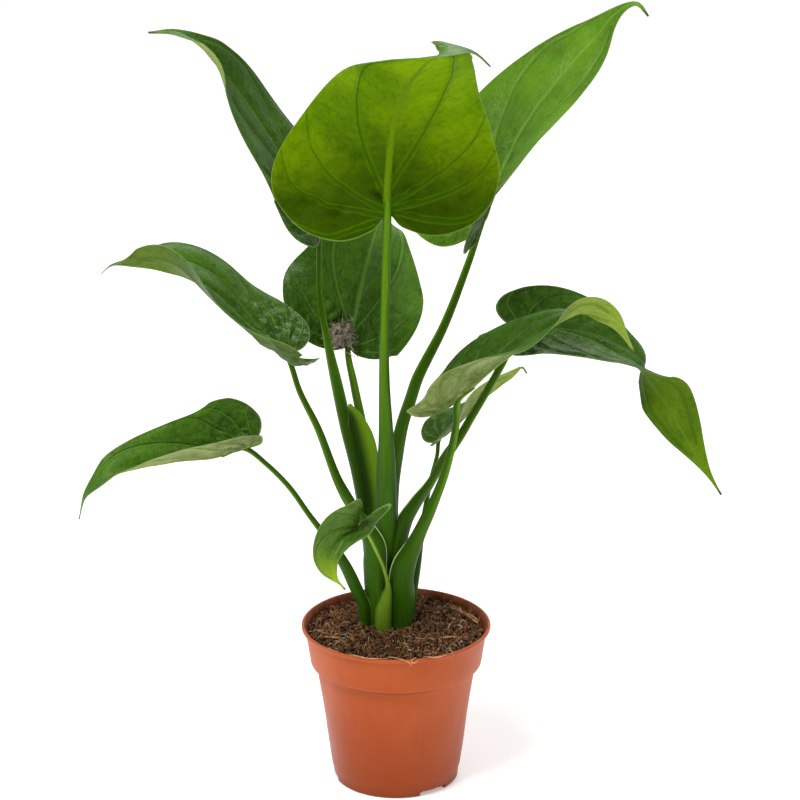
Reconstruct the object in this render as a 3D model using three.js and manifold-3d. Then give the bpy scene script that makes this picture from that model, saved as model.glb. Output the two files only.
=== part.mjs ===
// A young alocasia in a plastic nursery pot: ten cupped, heart-shaped leaves on stalks
// that wrap each other at the base.
// Millimetres, +Z up. The origin is the centre of the pot's underside.
// The plant is seen from the -Y side.

import * as THREE from "three";
import { mergeVertices } from "three/addons/utils/BufferGeometryUtils.js";
import Module from "manifold-3d";

const wasm = await Module();
wasm.setup();

// Driving dimensions

const POT = {
  height: 104,
  rimRadius: 60,
  bandHeight: 25.4,
  bandTopRadius: 57.6,
  bandFootRadius: 54.4,
  bodyTopRadius: 50.7,
  bodyFootRadius: 41.2,
  footHeight: 9,
  footRadius: 39,
  wall: 1.3,
  lipWall: 1.9,
  lipHeight: 3.4,
  floor: 1.7,
  floorLift: 1.6,
  padRadius: 13,
  footRingWidth: 3,
  footBevel: 0.8,
  footSwell: 0.9,
  ledgeRound: 0.6,
  lipRound: 0.5,
  lipFlat: 1.2,
  sides: 36,
};

const DRAIN = {
  holeCount: 6,
  holeRadius: 4,
  holeCircle: 24,
  notchCount: 3,
  notchTurn: 37,
  notchWidth: 20,
  notchHeight: 3.2,
  notchReach: 8,
  cutLength: 20,
  sides: 12,
};

const SOIL = {
  surface: 100,
  edgeDrop: 1,
  fit: 0.6,
  // the soil is heaped a little round the stalks
  heap: 2,
  heapReach: 26,
  // lumps of the surface: [height, turns per millimetre along x, along y, start]
  lumps: [[0.9, 0.31, 0.05, 1.3], [0.7, 0.04, 0.27, 0.4], [0.6, 0.53, -0.47, 0]],
  rings: 6,
  sides: 32,
};

const CROWN = { x: -5, y: 7, radius: 15, bottom: 58, top: 87, footShare: 0.6, footRise: 6, sides: 20 };

const CLEARANCE = 0.3;
const SHORTEST_EDGE = 0.03;
const SAME_POINT = 0.001;

const BLADE = {
  thickness: 0.9,
  leastHalfWidth: 0.7,
  // a half narrower than this is folded less, so that the two sides of the sheet stay apart
  foldedHalfWidth: 12,
  // fraction of the half width at each line of the mesh, from the midrib out
  across: [0, 0.08, 0.25, 0.48, 0.72, 0.9, 1],
  // margin and side veins: [place along the leaf, mesh rows up to it]
  veins: [[0.1, 2], [0.22, 2], [0.36, 2], [0.52, 2], [0.68, 2], [0.82, 2], [1, 3]],
  midribDepth: 1.8,
  seatRadius: 2.8,
  midribShare: 1.35,
  veinArch: 1.3,
  // share of the length that a lobe's own bend is measured over
  lobeReach: 0.2,
  // how far the right edge's waves run ahead of the left edge's, in waves
  waveAhead: 0.37,
  // fullness acts from the widest place on, and fades out at the tip
  widest: 0.38,
  tipSharpness: 12,
};

// Half of a leaf's outline, from the notch at the stalk round the lobe to the drip tip.
// [place along the outline, share of the length, share of the half width]
const OUTLINE = [
  [0, -0.02, 0.03],
  [0.06, -0.11, 0.14],
  [0.14, -0.17, 0.42],
  [0.22, -0.13, 0.74],
  [0.3, -0.02, 0.94],
  [0.38, 0.11, 1],
  [0.48, 0.27, 0.83],
  [0.58, 0.43, 0.64],
  [0.68, 0.58, 0.46],
  [0.78, 0.72, 0.28],
  [0.86, 0.81, 0.14],
  [0.93, 0.9, 0.045],
  [1, 1, 0.012],
];

// A sheath's hollow side faces a line this far behind the crown's middle.
const STALK = { sides: 10, ringStep: 20, ringMost: 16, wrapBehind: 8 };

const COLOURS = {
  blade: 0x2f6a1f,
  stalk: 0x5f9a12,
  pot: 0xc8603a,
  soil: 0x3b2618,
};

// Leaves

// Each blade: midrib stations from the stalk to the drip tip, with the way its upper side faces there,
// the rise of its left and right halves in degrees, and how far each half curls on to its edge.
// Above 0, fullness keeps a half wide for longer on its way to the tip; below 0 it narrows sooner.
// Each stalk: stations from the crown up, with half its width round the plant and half its depth.
const LEAVES = {
  front: {
    halfWidth: [68, 69],
    fullness: [0.4, -0.15],
    lobe: [0.52, 0.62],
    lobeCurl: -40,
    wave: [2, 2.5, 0.4],
    puff: 1.6,
    midrib: [
      { at: [-5, -35, 382], face: [0, 0.95, 0.3], fold: [8, 6], curl: [8, 6] },
      { at: [-5, -43, 401], face: [0, 0.9, 0.35], fold: [8, 6], curl: [8, 6] },
      { at: [-3, -60, 428], face: [0, 0.8, 0.5], fold: [10, 14], curl: [10, 26] },
      { at: [0, -80, 451], face: [0, 0.65, 0.7], fold: [12, 20], curl: [14, 44] },
      { at: [6, -100, 470], face: [0, 0.5, 0.8], fold: [12, 20], curl: [16, 42] },
      { at: [14, -118, 486], face: [0, 0.4, 0.9], fold: [10, 12], curl: [14, 20] },
      { at: [23, -130, 496], face: [0, 0.1, 0.95], fold: [8, 2], curl: [8, 0] },
      { at: [33, -126, 498], face: [0, -0.2, 0.95], fold: [4, 4], curl: [4, 4] },
      { at: [44, -114, 494], face: [0.1, -0.35, 0.9], fold: [8, 8], curl: [4, 4] },
      { at: [53, -106, 485], face: [0.2, -0.5, 0.85], fold: [8, 8], curl: [4, 4] },
    ],
    stalk: [
      { at: [-5, 8, 86], half: [5.5, 5], groove: 0 },
      { at: [-6, 4, 145], half: [6, 5.5], groove: 0 },
      { at: [-6, -2, 186], half: [6.5, 6], groove: 0 },
      { at: [-6, -7, 209], half: [6, 5.8], groove: 0 },
      { at: [-6, -11, 231], half: [4.8, 4.8], groove: 0 },
      { at: [-7, -18, 269], half: [3.4, 3.4], groove: 0 },
      { at: [-7, -23, 302], half: [2.9, 2.9], groove: 0 },
      { at: [-5, -35, 382], half: [2.5, 2.5], groove: 0 },
    ],
  },
  bud: {
    open: [-0.3, -1],
    stalk: [
      { at: [-8, 10, 86], half: [5, 4], groove: 0.2 },
      { at: [-11, 9, 143], half: [6, 4.5], groove: 0.6 },
      { at: [-14, 8, 184], half: [6.5, 4.5], groove: 1.1 },
      { at: [-17, 8, 204], half: [7.5, 4.5], groove: 1.3 },
      { at: [-21, 8, 224], half: [8, 4.5], groove: 1.4 },
      { at: [-25, 9, 237], half: [5.4, 3.4], groove: 1.4 },
      { at: [-29, 10, 247], half: [0.9, 0.9], groove: 0.4 },
    ],
  },
  upper_left: {
    halfWidth: [52, 46],
    fullness: [0.4, 0.0],
    lobe: [0.6, 0.35],
    lobeCurl: 10,
    wave: [2.5, 2.5, 0.1],
    puff: 1.8,
    midrib: [
      { at: [-48, 18, 361], tilt: 72, fold: [2, 2], curl: [8, 8] },
      { at: [-55, 26, 376], tilt: 72, fold: [2, 2], curl: [8, 8] },
      { at: [-69, 32, 398], tilt: 72, fold: [2, 0], curl: [8, 8] },
      { at: [-88, 32, 428], tilt: 72, fold: [6, 4], curl: [8, 8] },
      { at: [-105, 26, 454], tilt: 66, fold: [20, 12], curl: [10, 8] },
      { at: [-119, 16, 473], tilt: 62, fold: [45, 25], curl: [10, 8] },
      { at: [-132, 8, 482], tilt: 60, fold: [40, 20], curl: [5, 5] },
      { at: [-147, 0, 483], tilt: 60, fold: [10, 10], curl: [5, 5] },
    ],
    stalk: [
      { at: [-12, 12, 86], half: [5, 4.5], groove: 0 },
      { at: [-17, 14, 155], half: [5, 4.5], groove: 0 },
      { at: [-24, 14, 199], half: [4.4, 4], groove: 0 },
      { at: [-31, 14, 230], half: [4, 4], groove: 0 },
      { at: [-37, 15, 259], half: [3.6, 3.6], groove: 0 },
      { at: [-42, 15, 284], half: [2.6, 2.6], groove: 0 },
      { at: [-47, 16, 316], half: [1.8, 1.8], groove: 0 },
      { at: [-48, 18, 361], half: [1.6, 1.6], groove: 0 },
    ],
  },
  upper_right: {
    halfWidth: [72, 54],
    fullness: [0.0, 0.15],
    lobe: [0.7, 0.8],
    lobeCurl: 0,
    wave: [2.5, 2.5, 0.6],
    puff: 1.8,
    midrib: [
      { at: [53, 28, 359], tilt: -66, fold: [8, 35], curl: [10, 10] },
      { at: [64, 38, 385], tilt: -66, fold: [10, 20], curl: [10, 10] },
      { at: [80, 50, 415], tilt: -66, fold: [10, 8], curl: [10, 10] },
      { at: [101, 58, 443], tilt: -66, fold: [10, -2], curl: [10, 10] },
      { at: [121, 60, 466], tilt: -64, fold: [12, -12], curl: [10, 5] },
      { at: [136, 58, 484], tilt: -62, fold: [15, -10], curl: [10, 5] },
      { at: [147, 54, 490], tilt: -60, fold: [15, 0], curl: [5, 5] },
      { at: [154, 50, 483], tilt: -60, fold: [10, 10], curl: [5, 5] },
    ],
    stalk: [
      { at: [-2, 12, 86], half: [5.5, 5], groove: 0 },
      { at: [-4, 11, 156], half: [5.5, 5], groove: 0 },
      { at: [-3, 11, 190], half: [5, 4.8], groove: 0 },
      { at: [0, 11, 213], half: [4.8, 4.6], groove: 0 },
      { at: [4, 12, 233], half: [4.2, 4], groove: 0 },
      { at: [9, 13, 249], half: [3.8, 3.8], groove: 0 },
      { at: [14, 14, 264], half: [3.6, 3.6], groove: 0 },
      { at: [30, 18, 296], half: [2.8, 2.8], groove: 0 },
      { at: [45, 24, 335], half: [2.2, 2.2], groove: 0 },
      { at: [53, 28, 359], half: [1.9, 1.9], groove: 0 },
    ],
  },
  back: {
    halfWidth: [64, 54],
    fullness: [0, 0],
    lobe: [0.3, 0.3],
    lobeCurl: 60,
    wave: [2, 2.5, 0.3],
    puff: 1.8,
    midrib: [
      { at: [-31, 70, 265], tilt: 0, fold: [8, 8], curl: [90, 90] },
      { at: [-26, 78, 286], tilt: 0, fold: [8, 8], curl: [50, 60] },
      { at: [-21, 90, 306], tilt: 0, fold: [8, 8], curl: [5, 20] },
      { at: [-16, 104, 323], tilt: 0, fold: [8, 8], curl: [15, 20] },
      { at: [-11, 118, 335], tilt: 0, fold: [8, 8], curl: [30, 30] },
      { at: [-6, 134, 340], tilt: 0, fold: [8, 8], curl: [20, 20] },
      { at: [-1, 152, 334], tilt: 0, fold: [8, 8], curl: [10, 10] },
    ],
    stalk: [
      { at: [-4, 18, 86], half: [4.5, 4], groove: 0 },
      { at: [-12, 20, 152], half: [4, 3.5], groove: 0 },
      { at: [-16, 28, 197], half: [3, 3], groove: 0 },
      { at: [-22, 38, 227], half: [2.8, 2.8], groove: 0 },
      { at: [-27, 50, 248], half: [2.5, 2.5], groove: 0 },
      { at: [-31, 70, 265], half: [1.8, 1.8], groove: 0 },
    ],
  },
  middle_left: {
    halfWidth: [42, 42],
    fullness: [0.6, 0.6],
    lobe: [1.3, 0.75],
    lobeCurl: 85,
    wave: [2, 2, 0.5],
    puff: 1.6,
    midrib: [
      { at: [-69, -4, 287], tilt: 76, fold: [0, 4], curl: [70, 5] },
      { at: [-89, -8, 303], tilt: 77, fold: [0, 4], curl: [60, 5] },
      { at: [-108, -14, 324], tilt: 78, fold: [4, 4], curl: [40, 5] },
      { at: [-124, -18, 336], tilt: 80, fold: [22, 6], curl: [20, 10] },
      { at: [-142, -22, 343], tilt: 82, fold: [55, 10], curl: [10, 10] },
      { at: [-158, -24, 346], tilt: 86, fold: [70, 10], curl: [5, 5] },
      { at: [-170, -26, 347], tilt: 90, fold: [65, 10], curl: [5, 5] },
      { at: [-177, -28, 342], tilt: 95, fold: [40, 10], curl: [5, 5] },
    ],
    stalk: [
      { at: [-8, 5, 86], half: [7, 6], groove: 0 },
      { at: [-12, 0, 123], half: [7.8, 6.5], groove: 0 },
      { at: [-13, -2, 145], half: [8, 6.5], groove: 0 },
      { at: [-13, -3, 158], half: [7.5, 6.5], groove: 0 },
      { at: [-17, -3, 168], half: [6.6, 6], groove: 0 },
      { at: [-24, -3, 180], half: [4.8, 4.6], groove: 0 },
      { at: [-31, -3, 191], half: [3.8, 3.8], groove: 0 },
      { at: [-37, -3, 203], half: [2.9, 2.9], groove: 0 },
      { at: [-48, -4, 235], half: [2.3, 2.3], groove: 0 },
      { at: [-59, -4, 259], half: [1.9, 1.9], groove: 0 },
      { at: [-69, -4, 287], half: [1.6, 1.6], groove: 0 },
    ],
  },
  right_top: {
    halfWidth: [30, 33],
    fullness: [0.25, 0.3],
    lobe: [0.6, 0.9],
    lobeCurl: 20,
    wave: [2, 2, 0.2],
    puff: 1.6,
    midrib: [
      { at: [78, 18, 294], tilt: -62, fold: [14, 5], curl: [24, 10] },
      { at: [95, 16, 294], tilt: -66, fold: [12, 5], curl: [30, 10] },
      { at: [117, 12, 289], tilt: -72, fold: [10, 5], curl: [30, 10] },
      { at: [137, 8, 280], tilt: -80, fold: [10, 10], curl: [10, 10] },
      { at: [151, 4, 272], tilt: -94, fold: [10, 10], curl: [5, 5] },
      { at: [159, 3, 262], tilt: -130, fold: [5, 5], curl: [5, 5] },
      { at: [167, 1, 251], tilt: -165, fold: [5, 5], curl: [5, 5] },
      { at: [178, 0, 232], tilt: -178, fold: [5, 5], curl: [5, 5] },
      { at: [191, -2, 211], tilt: -178, fold: [5, 5], curl: [5, 5] },
      { at: [203, -4, 192], tilt: -178, fold: [5, 5], curl: [5, 5] },
    ],
    stalk: [
      { at: [-2, 5, 86], half: [6, 5], groove: 0 },
      { at: [0, 4, 148], half: [6, 5], groove: 0 },
      { at: [4, 5, 170], half: [6.6, 5.5], groove: 0 },
      { at: [11, 6, 184], half: [6.4, 5.5], groove: 0 },
      { at: [18, 7, 194], half: [5.8, 5], groove: 0 },
      { at: [24, 8, 203], half: [4.8, 4.2], groove: 0 },
      { at: [31, 8, 213], half: [3.4, 3.4], groove: 0 },
      { at: [40, 9, 226], half: [2.8, 2.8], groove: 0 },
      { at: [47, 11, 238], half: [2.6, 2.6], groove: 0 },
      { at: [55, 12, 252], half: [2.5, 2.5], groove: 0 },
      { at: [66, 14, 272], half: [2.3, 2.3], groove: 0 },
      { at: [78, 18, 294], half: [2, 2], groove: 0 },
    ],
  },
  low_left: {
    halfWidth: [30, 33],
    fullness: [0.2, 0.2],
    lobe: [0.7, 0.9],
    lobeCurl: 20,
    wave: [1.5, 2, 0.3],
    puff: 1.4,
    midrib: [
      { at: [-94, -16, 227], tilt: 71, fold: [48, 40], curl: [10, 30] },
      { at: [-111, -20, 223], tilt: 71, fold: [48, 40], curl: [10, 30] },
      { at: [-135, -26, 222], tilt: 71, fold: [48, 40], curl: [10, 30] },
      { at: [-157, -32, 220], tilt: 71, fold: [44, 36], curl: [10, 20] },
      { at: [-174, -38, 217], tilt: 70, fold: [30, 25], curl: [10, 10] },
      { at: [-189, -40, 206], tilt: 70, fold: [10, 10], curl: [5, 5] },
      { at: [-194, -42, 190], tilt: 70, fold: [5, 5], curl: [5, 5] },
    ],
    stalk: [
      { at: [-17, 6, 86], half: [4.5, 4.5], groove: 0 },
      { at: [-19, 3, 106], half: [4.8, 4.6], groove: 0 },
      { at: [-20, 0, 118], half: [5.6, 5], groove: 0 },
      { at: [-25, -4, 131], half: [5.2, 4.8], groove: 0 },
      { at: [-30, -6, 143], half: [4.8, 4.4], groove: 0 },
      { at: [-37, -9, 156], half: [3.2, 3.2], groove: 0 },
      { at: [-44, -11, 167], half: [2.2, 2.2], groove: 0 },
      { at: [-54, -13, 182], half: [1.8, 1.8], groove: 0 },
      { at: [-66, -15, 201], half: [1.7, 1.7], groove: 0 },
      { at: [-80, -17, 217], half: [1.6, 1.6], groove: 0 },
      { at: [-94, -16, 227], half: [1.6, 1.6], groove: 0 },
    ],
  },
  right_middle: {
    halfWidth: [34, 34],
    fullness: [0.25, 0.35],
    lobe: [1, 1.45],
    lobeCurl: 42,
    wave: [1.5, 2, 0.2],
    puff: 1.4,
    midrib: [
      { at: [38, -24, 261], tilt: -90, fold: [22, 36], curl: [10, 10] },
      { at: [49, -27, 273], tilt: -90, fold: [20, 38], curl: [10, 10] },
      { at: [63, -30, 287], tilt: -88, fold: [16, 30], curl: [10, 10] },
      { at: [81, -32, 301], tilt: -88, fold: [14, 10], curl: [10, 10] },
      { at: [99, -34, 314], tilt: -100, fold: [14, 4], curl: [10, 10] },
      { at: [116, -36, 321], tilt: -130, fold: [10, 10], curl: [5, 5] },
      { at: [130, -38, 316], tilt: -145, fold: [8, 8], curl: [5, 5] },
      { at: [144, -40, 296], tilt: -150, fold: [8, 8], curl: [5, 5] },
    ],
    stalk: [
      { at: [1.5, 4, 86], half: [7.5, 6.5], groove: 0 },
      { at: [4, -1, 120], half: [8.4, 6.6], groove: 0 },
      { at: [3, -4, 135], half: [8.3, 6.6], groove: 0 },
      { at: [5, -5, 147], half: [8.2, 6.6], groove: 0 },
      { at: [10, -6, 159], half: [6.6, 6], groove: 0 },
      { at: [15, -8, 170], half: [4.8, 4.6], groove: 0 },
      { at: [20, -10, 181], half: [3.8, 3.8], groove: 0 },
      { at: [25, -12, 194], half: [3.1, 3.1], groove: 0 },
      { at: [30, -14, 209], half: [2.7, 2.7], groove: 0 },
      { at: [34, -17, 226], half: [2.4, 2.4], groove: 0 },
      { at: [37, -20, 244], half: [2.2, 2.2], groove: 0 },
      { at: [38, -24, 261], half: [2, 2], groove: 0 },
    ],
  },
  right_low: {
    halfWidth: [26, 26],
    fullness: [0.35, 0.35],
    lobe: [0.8, 0.8],
    lobeCurl: 10,
    wave: [1, 2, 0.7],
    puff: 1,
    midrib: [
      { at: [29, 36, 216], tilt: -90, fold: [14, 14], curl: [10, 10] },
      { at: [41, 40, 226], tilt: -95, fold: [14, 14], curl: [10, 10] },
      { at: [53, 44, 237], tilt: -108, fold: [14, 14], curl: [10, 10] },
      { at: [66, 47, 247], tilt: -122, fold: [12, 12], curl: [10, 10] },
      { at: [75, 49, 255], tilt: -130, fold: [8, 8], curl: [10, 10] },
      { at: [80, 50, 258], tilt: -130, fold: [5, 5], curl: [5, 5] },
      { at: [83, 50, 254], tilt: -130, fold: [5, 5], curl: [5, 5] },
    ],
    stalk: [
      { at: [6, 12, 86], half: [5, 4], groove: 0 },
      { at: [11, 13, 124], half: [3.5, 3.2], groove: 0 },
      { at: [13, 16, 137], half: [3, 3], groove: 0 },
      { at: [16, 20, 156], half: [2, 2], groove: 0 },
      { at: [19, 24, 175], half: [1.6, 1.6], groove: 0 },
      { at: [22, 28, 190], half: [1.4, 1.4], groove: 0 },
      { at: [26, 32, 205], half: [1.3, 1.3], groove: 0 },
      { at: [28, 36, 216], half: [1.3, 1.3], groove: 0 },
    ],
  },
  small: {
    halfWidth: [13, 24],
    fullness: [0, 0],
    lobe: [2.6, 0.5],
    lobeCurl: 10,
    wave: [1, 2, 0.4],
    puff: 1,
    midrib: [
      { at: [-22, -38, 186], tilt: 5, fold: [62, 45], curl: [10, 10] },
      { at: [-26, -43, 183], tilt: 5, fold: [62, 35], curl: [10, 10] },
      { at: [-35, -49, 178], tilt: 5, fold: [60, 15], curl: [10, 10] },
      { at: [-40, -55, 170], tilt: 0, fold: [40, 10], curl: [10, 10] },
      { at: [-38, -58, 160], tilt: 0, fold: [15, 15], curl: [5, 5] },
      { at: [-31, -60, 151], tilt: 0, fold: [5, 5], curl: [5, 5] },
    ],
    stalk: [
      { at: [-8, 0, 86], half: [5, 4.5], groove: 0 },
      { at: [-8, -4, 113], half: [5.5, 4.5], groove: 0 },
      { at: [-6, -7, 125], half: [3.6, 3.2], groove: 0 },
      { at: [-5, -11, 134], half: [1.7, 1.7], groove: 0 },
      { at: [-8, -15, 148], half: [1.1, 1.1], groove: 0 },
      { at: [-12, -20, 160], half: [1.1, 1.1], groove: 0 },
      { at: [-17, -28, 174], half: [1, 1], groove: 0 },
      { at: [-22, -38, 186], half: [1, 1], groove: 0 },
    ],
  },
};

// Curves

/** A smooth curve's value at a place, through one value at each knot. */
function through(knots, values, place) {
  const last = knots.length - 1;
  let low = 0;
  while (low < last - 1 && place > knots[low + 1]) low += 1;
  const slope = (i) => {
    const before = Math.max(i - 1, 0);
    const after = Math.min(i + 1, last);
    return (values[after] - values[before]) / (knots[after] - knots[before]);
  };
  const span = knots[low + 1] - knots[low];
  const t = (place - knots[low]) / span;
  const rise = values[low + 1] - values[low];
  const start = slope(low) * span;
  const end = slope(low + 1) * span;
  return values[low] + t * (start + t * (3 * rise - 2 * start - end + t * (start + end - 2 * rise)));
}

/** The same for a list of vectors, one number at a time. */
function throughVectors(knots, vectors, place) {
  return vectors[0].map((_, i) => through(knots, vectors.map((v) => v[i]), place));
}

/** Distances along a chain of stations, from the first one. */
function chainKnots(stations) {
  const knots = [0];
  for (let i = 1; i < stations.length; i += 1) {
    const step = Math.hypot(...stations[i].at.map((v, c) => v - stations[i - 1].at[c]));
    knots.push(knots[i - 1] + step);
  }
  return knots;
}

/** The way a blade's upper side faces at each station: straight to the front, turned about the midrib. */
function stationFaces(stations) {
  const front = new THREE.Vector3(0, -1, 0);
  return stations.map((station, i) => {
    if (station.face) return new THREE.Vector3(...station.face).normalize().toArray();
    const before = new THREE.Vector3(...stations[Math.max(i - 1, 0)].at);
    const after = new THREE.Vector3(...stations[Math.min(i + 1, stations.length - 1)].at);
    const along = after.sub(before).normalize();
    const face = front.clone().addScaledVector(along, -front.dot(along)).normalize();
    return face.applyAxisAngle(along, THREE.MathUtils.degToRad(station.tilt)).toArray();
  });
}

const SLOPE_SHARE = 1 / 400;

/** A frame on a chain of stations: the place, the way along it, and two directions across it. */
function frameOn(knots, stations, place, faceAt) {
  const points = stations.map((s) => s.at);
  const nudge = knots.at(-1) * SLOPE_SHARE;
  const low = Math.max(place - nudge, 0);
  const high = Math.min(place + nudge, knots.at(-1));
  const at = new THREE.Vector3(...throughVectors(knots, points, place));
  const along = new THREE.Vector3(...throughVectors(knots, points, high))
    .sub(new THREE.Vector3(...throughVectors(knots, points, low)))
    .normalize();
  const up = faceAt(at).addScaledVector(along, -faceAt(at).dot(along)).normalize();
  const side = new THREE.Vector3().crossVectors(along, up);
  return { at, along, up, side };
}

// Solids

/** A closed geometry as a solid, with its shared vertices merged and its empty triangles dropped. */
function solidOf(geometry, apart = SAME_POINT) {
  const bare = new THREE.BufferGeometry().setAttribute("position", geometry.getAttribute("position"));
  bare.setIndex(geometry.getIndex());
  const merged = mergeVertices(bare, apart);
  const index = merged.getIndex().array;
  const kept = [];
  for (let i = 0; i < index.length; i += 3) {
    const [a, b, c] = index.slice(i, i + 3);
    if (a !== b && b !== c && c !== a) kept.push(a, b, c);
  }
  const vertProperties = new Float32Array(merged.getAttribute("position").array);
  return new wasm.Manifold(new wasm.Mesh({ numProp: 3, vertProperties, triVerts: new Uint32Array(kept) }));
}

/** A solid's surface as a geometry. */
function geometryOf(solid) {
  const made = solid.getMesh();
  const geometry = new THREE.BufferGeometry();
  geometry.setAttribute("position", new THREE.BufferAttribute(made.vertProperties, 3));
  geometry.setIndex(new THREE.BufferAttribute(made.triVerts, 1));
  return geometry;
}

/** The largest single body of a solid, without its shortest edges: a cut can leave a scrap or a sliver. */
function largest(solid) {
  const body = solid.decompose().reduce((best, next) => (next.volume() > best.volume() ? next : best));
  return solidOf(geometryOf(body.asOriginal().simplify(SHORTEST_EDGE)), SHORTEST_EDGE);
}

/** A named mesh of a solid. */
function meshOf(name, solid, colour, roughness) {
  const geometry = geometryOf(solid);
  geometry.computeVertexNormals();
  const material = new THREE.MeshStandardMaterial({ color: colour, roughness, metalness: 0 });
  const mesh = new THREE.Mesh(geometry, material);
  mesh.name = name;
  return mesh;
}

// Blades

/** The rows of a blade's mesh, as places along its outline. */
function bladeRows() {
  const rows = [0];
  let from = 0;
  for (const [to, count] of BLADE.veins) {
    for (let i = 1; i <= count; i += 1) rows.push(from + ((to - from) * i) / count);
    from = to;
  }
  return rows;
}

/** How far a blade swells between its side veins, from 0 on a vein, the midrib or the edge to 1. */
function swell(u, w) {
  let from = 0;
  for (const [to] of BLADE.veins) {
    if (u <= to) {
      const between = Math.sin((Math.PI * (u - from)) / (to - from));
      return Math.max(between, 0) * Math.sin(Math.PI * w) * (1 - u * u);
    }
    from = to;
  }
  return 0;
}

/** A point of a blade's middle surface: u runs along its outline, t from the left edge to the right. */
function bladePoint(leaf, knots, u, t) {
  const w = Math.abs(t);
  const hand = t < 0 ? 0 : 1;
  const length = knots.at(-1);
  const places = OUTLINE.map((p) => p[0]);
  const [alongShare, plainShare] = throughVectors(places, OUTLINE.map((p) => [p[1], p[2]]), u);
  const fullness = u > BLADE.widest ? leaf.fullness[hand] * (1 - u ** BLADE.tipSharpness) : 0;
  const widthShare = plainShare ** (1 - fullness);
  const edge = alongShare < 0 ? alongShare * leaf.lobe[hand] : alongShare;
  const rib = u ** BLADE.midribShare;
  const a = length * (rib + (edge - rib) * w ** BLADE.veinArch);
  const halfWidth = Math.max(leaf.halfWidth[hand] * widthShare, BLADE.leastHalfWidth);
  const b = halfWidth * w;

  const place = Math.max(a, 0);
  const face = () => new THREE.Vector3(...throughVectors(knots, stationFaces(leaf.midrib), place));
  const frame = frameOn(knots, leaf.midrib, place, face);
  const folded = Math.min(halfWidth / BLADE.foldedHalfWidth, 1);
  const fold = THREE.MathUtils.degToRad(through(knots, leaf.midrib.map((s) => s.fold[hand]), place)) * folded;
  const curl = THREE.MathUtils.degToRad(through(knots, leaf.midrib.map((s) => s.curl[hand]), place));

  // the lobes run back from the stalk on a bend of their own
  const back = Math.max(-a, 0);
  const backTurn = THREE.MathUtils.degToRad(leaf.lobeCurl) * (back / (BLADE.lobeReach * length));
  const backChord = backTurn === 0 ? back : (back * Math.sin(backTurn / 2)) / (backTurn / 2);
  const up = frame.up
    .clone()
    .multiplyScalar(Math.cos(backTurn))
    .addScaledVector(frame.along, Math.sin(backTurn));
  const point = frame.at
    .clone()
    .addScaledVector(frame.along, -backChord * Math.cos(backTurn / 2))
    .addScaledVector(frame.up, backChord * Math.sin(backTurn / 2));

  // each half rises from the midrib on an arc
  const turn = (curl * b) / leaf.halfWidth[hand];
  const chord = turn === 0 ? b : (b * Math.sin(turn / 2)) / (turn / 2);
  const [waveHeight, waveCount, wavePhase] = leaf.wave;
  const waveTurn = 2 * Math.PI * (waveCount * u + wavePhase + BLADE.waveAhead * hand);
  const wave = waveHeight * w * w * Math.sin(waveTurn) * widthShare;
  const lift = leaf.puff * swell(u, w) + wave;
  return point
    .addScaledVector(frame.side, (hand ? 1 : -1) * chord * Math.cos(fold + turn / 2))
    .addScaledVector(up, chord * Math.sin(fold + turn / 2) + lift);
}

/** The points of a blade's middle surface, row by row, with the edge moved outwards. */
function bladePoints(leaf, rows, lines, grow) {
  const knots = chainKnots(leaf.midrib);
  const exact = rows.map((u) => lines.map((t) => bladePoint(leaf, knots, u, t)));
  const [first, second] = leaf.midrib.map((station) => new THREE.Vector3(...station.at));
  const back = first.sub(second).normalize();
  const last = lines.length - 1;
  return exact.flatMap((row, r) =>
    row.map((point, c) => {
      if (r === 0) return point.clone().addScaledVector(back, 2 * grow);
      if (c > 0 && c < last) return point;
      const outward = point.clone().sub(row[c === 0 ? 1 : last - 1]).normalize();
      return point.clone().addScaledVector(outward, grow);
    }),
  );
}

/** A blade as a closed sheet, with the same triangles on both faces and a midrib raised underneath. */
function bladeGeometry(leaf, grow) {
  const rows = bladeRows();
  const lines = [...BLADE.across.slice(1).map((v) => -v).reverse(), ...BLADE.across];
  const points = bladePoints(leaf, rows, lines, grow);
  const sheet = new THREE.BufferGeometry().setFromPoints(points);
  const triangles = [];
  const wide = lines.length;
  for (let r = 0; r < rows.length - 1; r += 1) {
    for (let c = 0; c < wide - 1; c += 1) {
      const a = r * wide + c;
      triangles.push(a, a + 1, a + wide, a + 1, a + wide + 1, a + wide);
    }
  }
  sheet.setIndex(triangles);
  sheet.computeVertexNormals();

  const normal = sheet.getAttribute("normal");
  const top = [];
  const bottom = [];
  points.forEach((point, i) => {
    const away = new THREE.Vector3().fromBufferAttribute(normal, i);
    const onMidrib = lines[i % wide] === 0;
    const ridge = onMidrib ? BLADE.midribDepth * (1 - rows[Math.floor(i / wide)]) : 0;
    top.push(point.clone().addScaledVector(away, BLADE.thickness / 2 + grow));
    bottom.push(point.clone().addScaledVector(away, -BLADE.thickness / 2 - grow - ridge));
  });

  const count = points.length;
  const index = [...triangles];
  for (let i = 0; i < triangles.length; i += 3) {
    index.push(count + triangles[i], count + triangles[i + 2], count + triangles[i + 1]);
  }
  const border = [];
  for (let c = 0; c < wide; c += 1) border.push(c);
  for (let r = 1; r < rows.length; r += 1) border.push(r * wide + wide - 1);
  for (let c = wide - 2; c >= 0; c -= 1) border.push((rows.length - 1) * wide + c);
  for (let r = rows.length - 2; r > 0; r -= 1) border.push(r * wide);
  border.forEach((a, i) => {
    const b = border[(i + 1) % border.length];
    index.push(a, count + a, b, b, count + a, count + b);
  });
  const blade = new THREE.BufferGeometry().setFromPoints([...top, ...bottom]);
  blade.setIndex(index);
  return blade;
}

// Stalks

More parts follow.
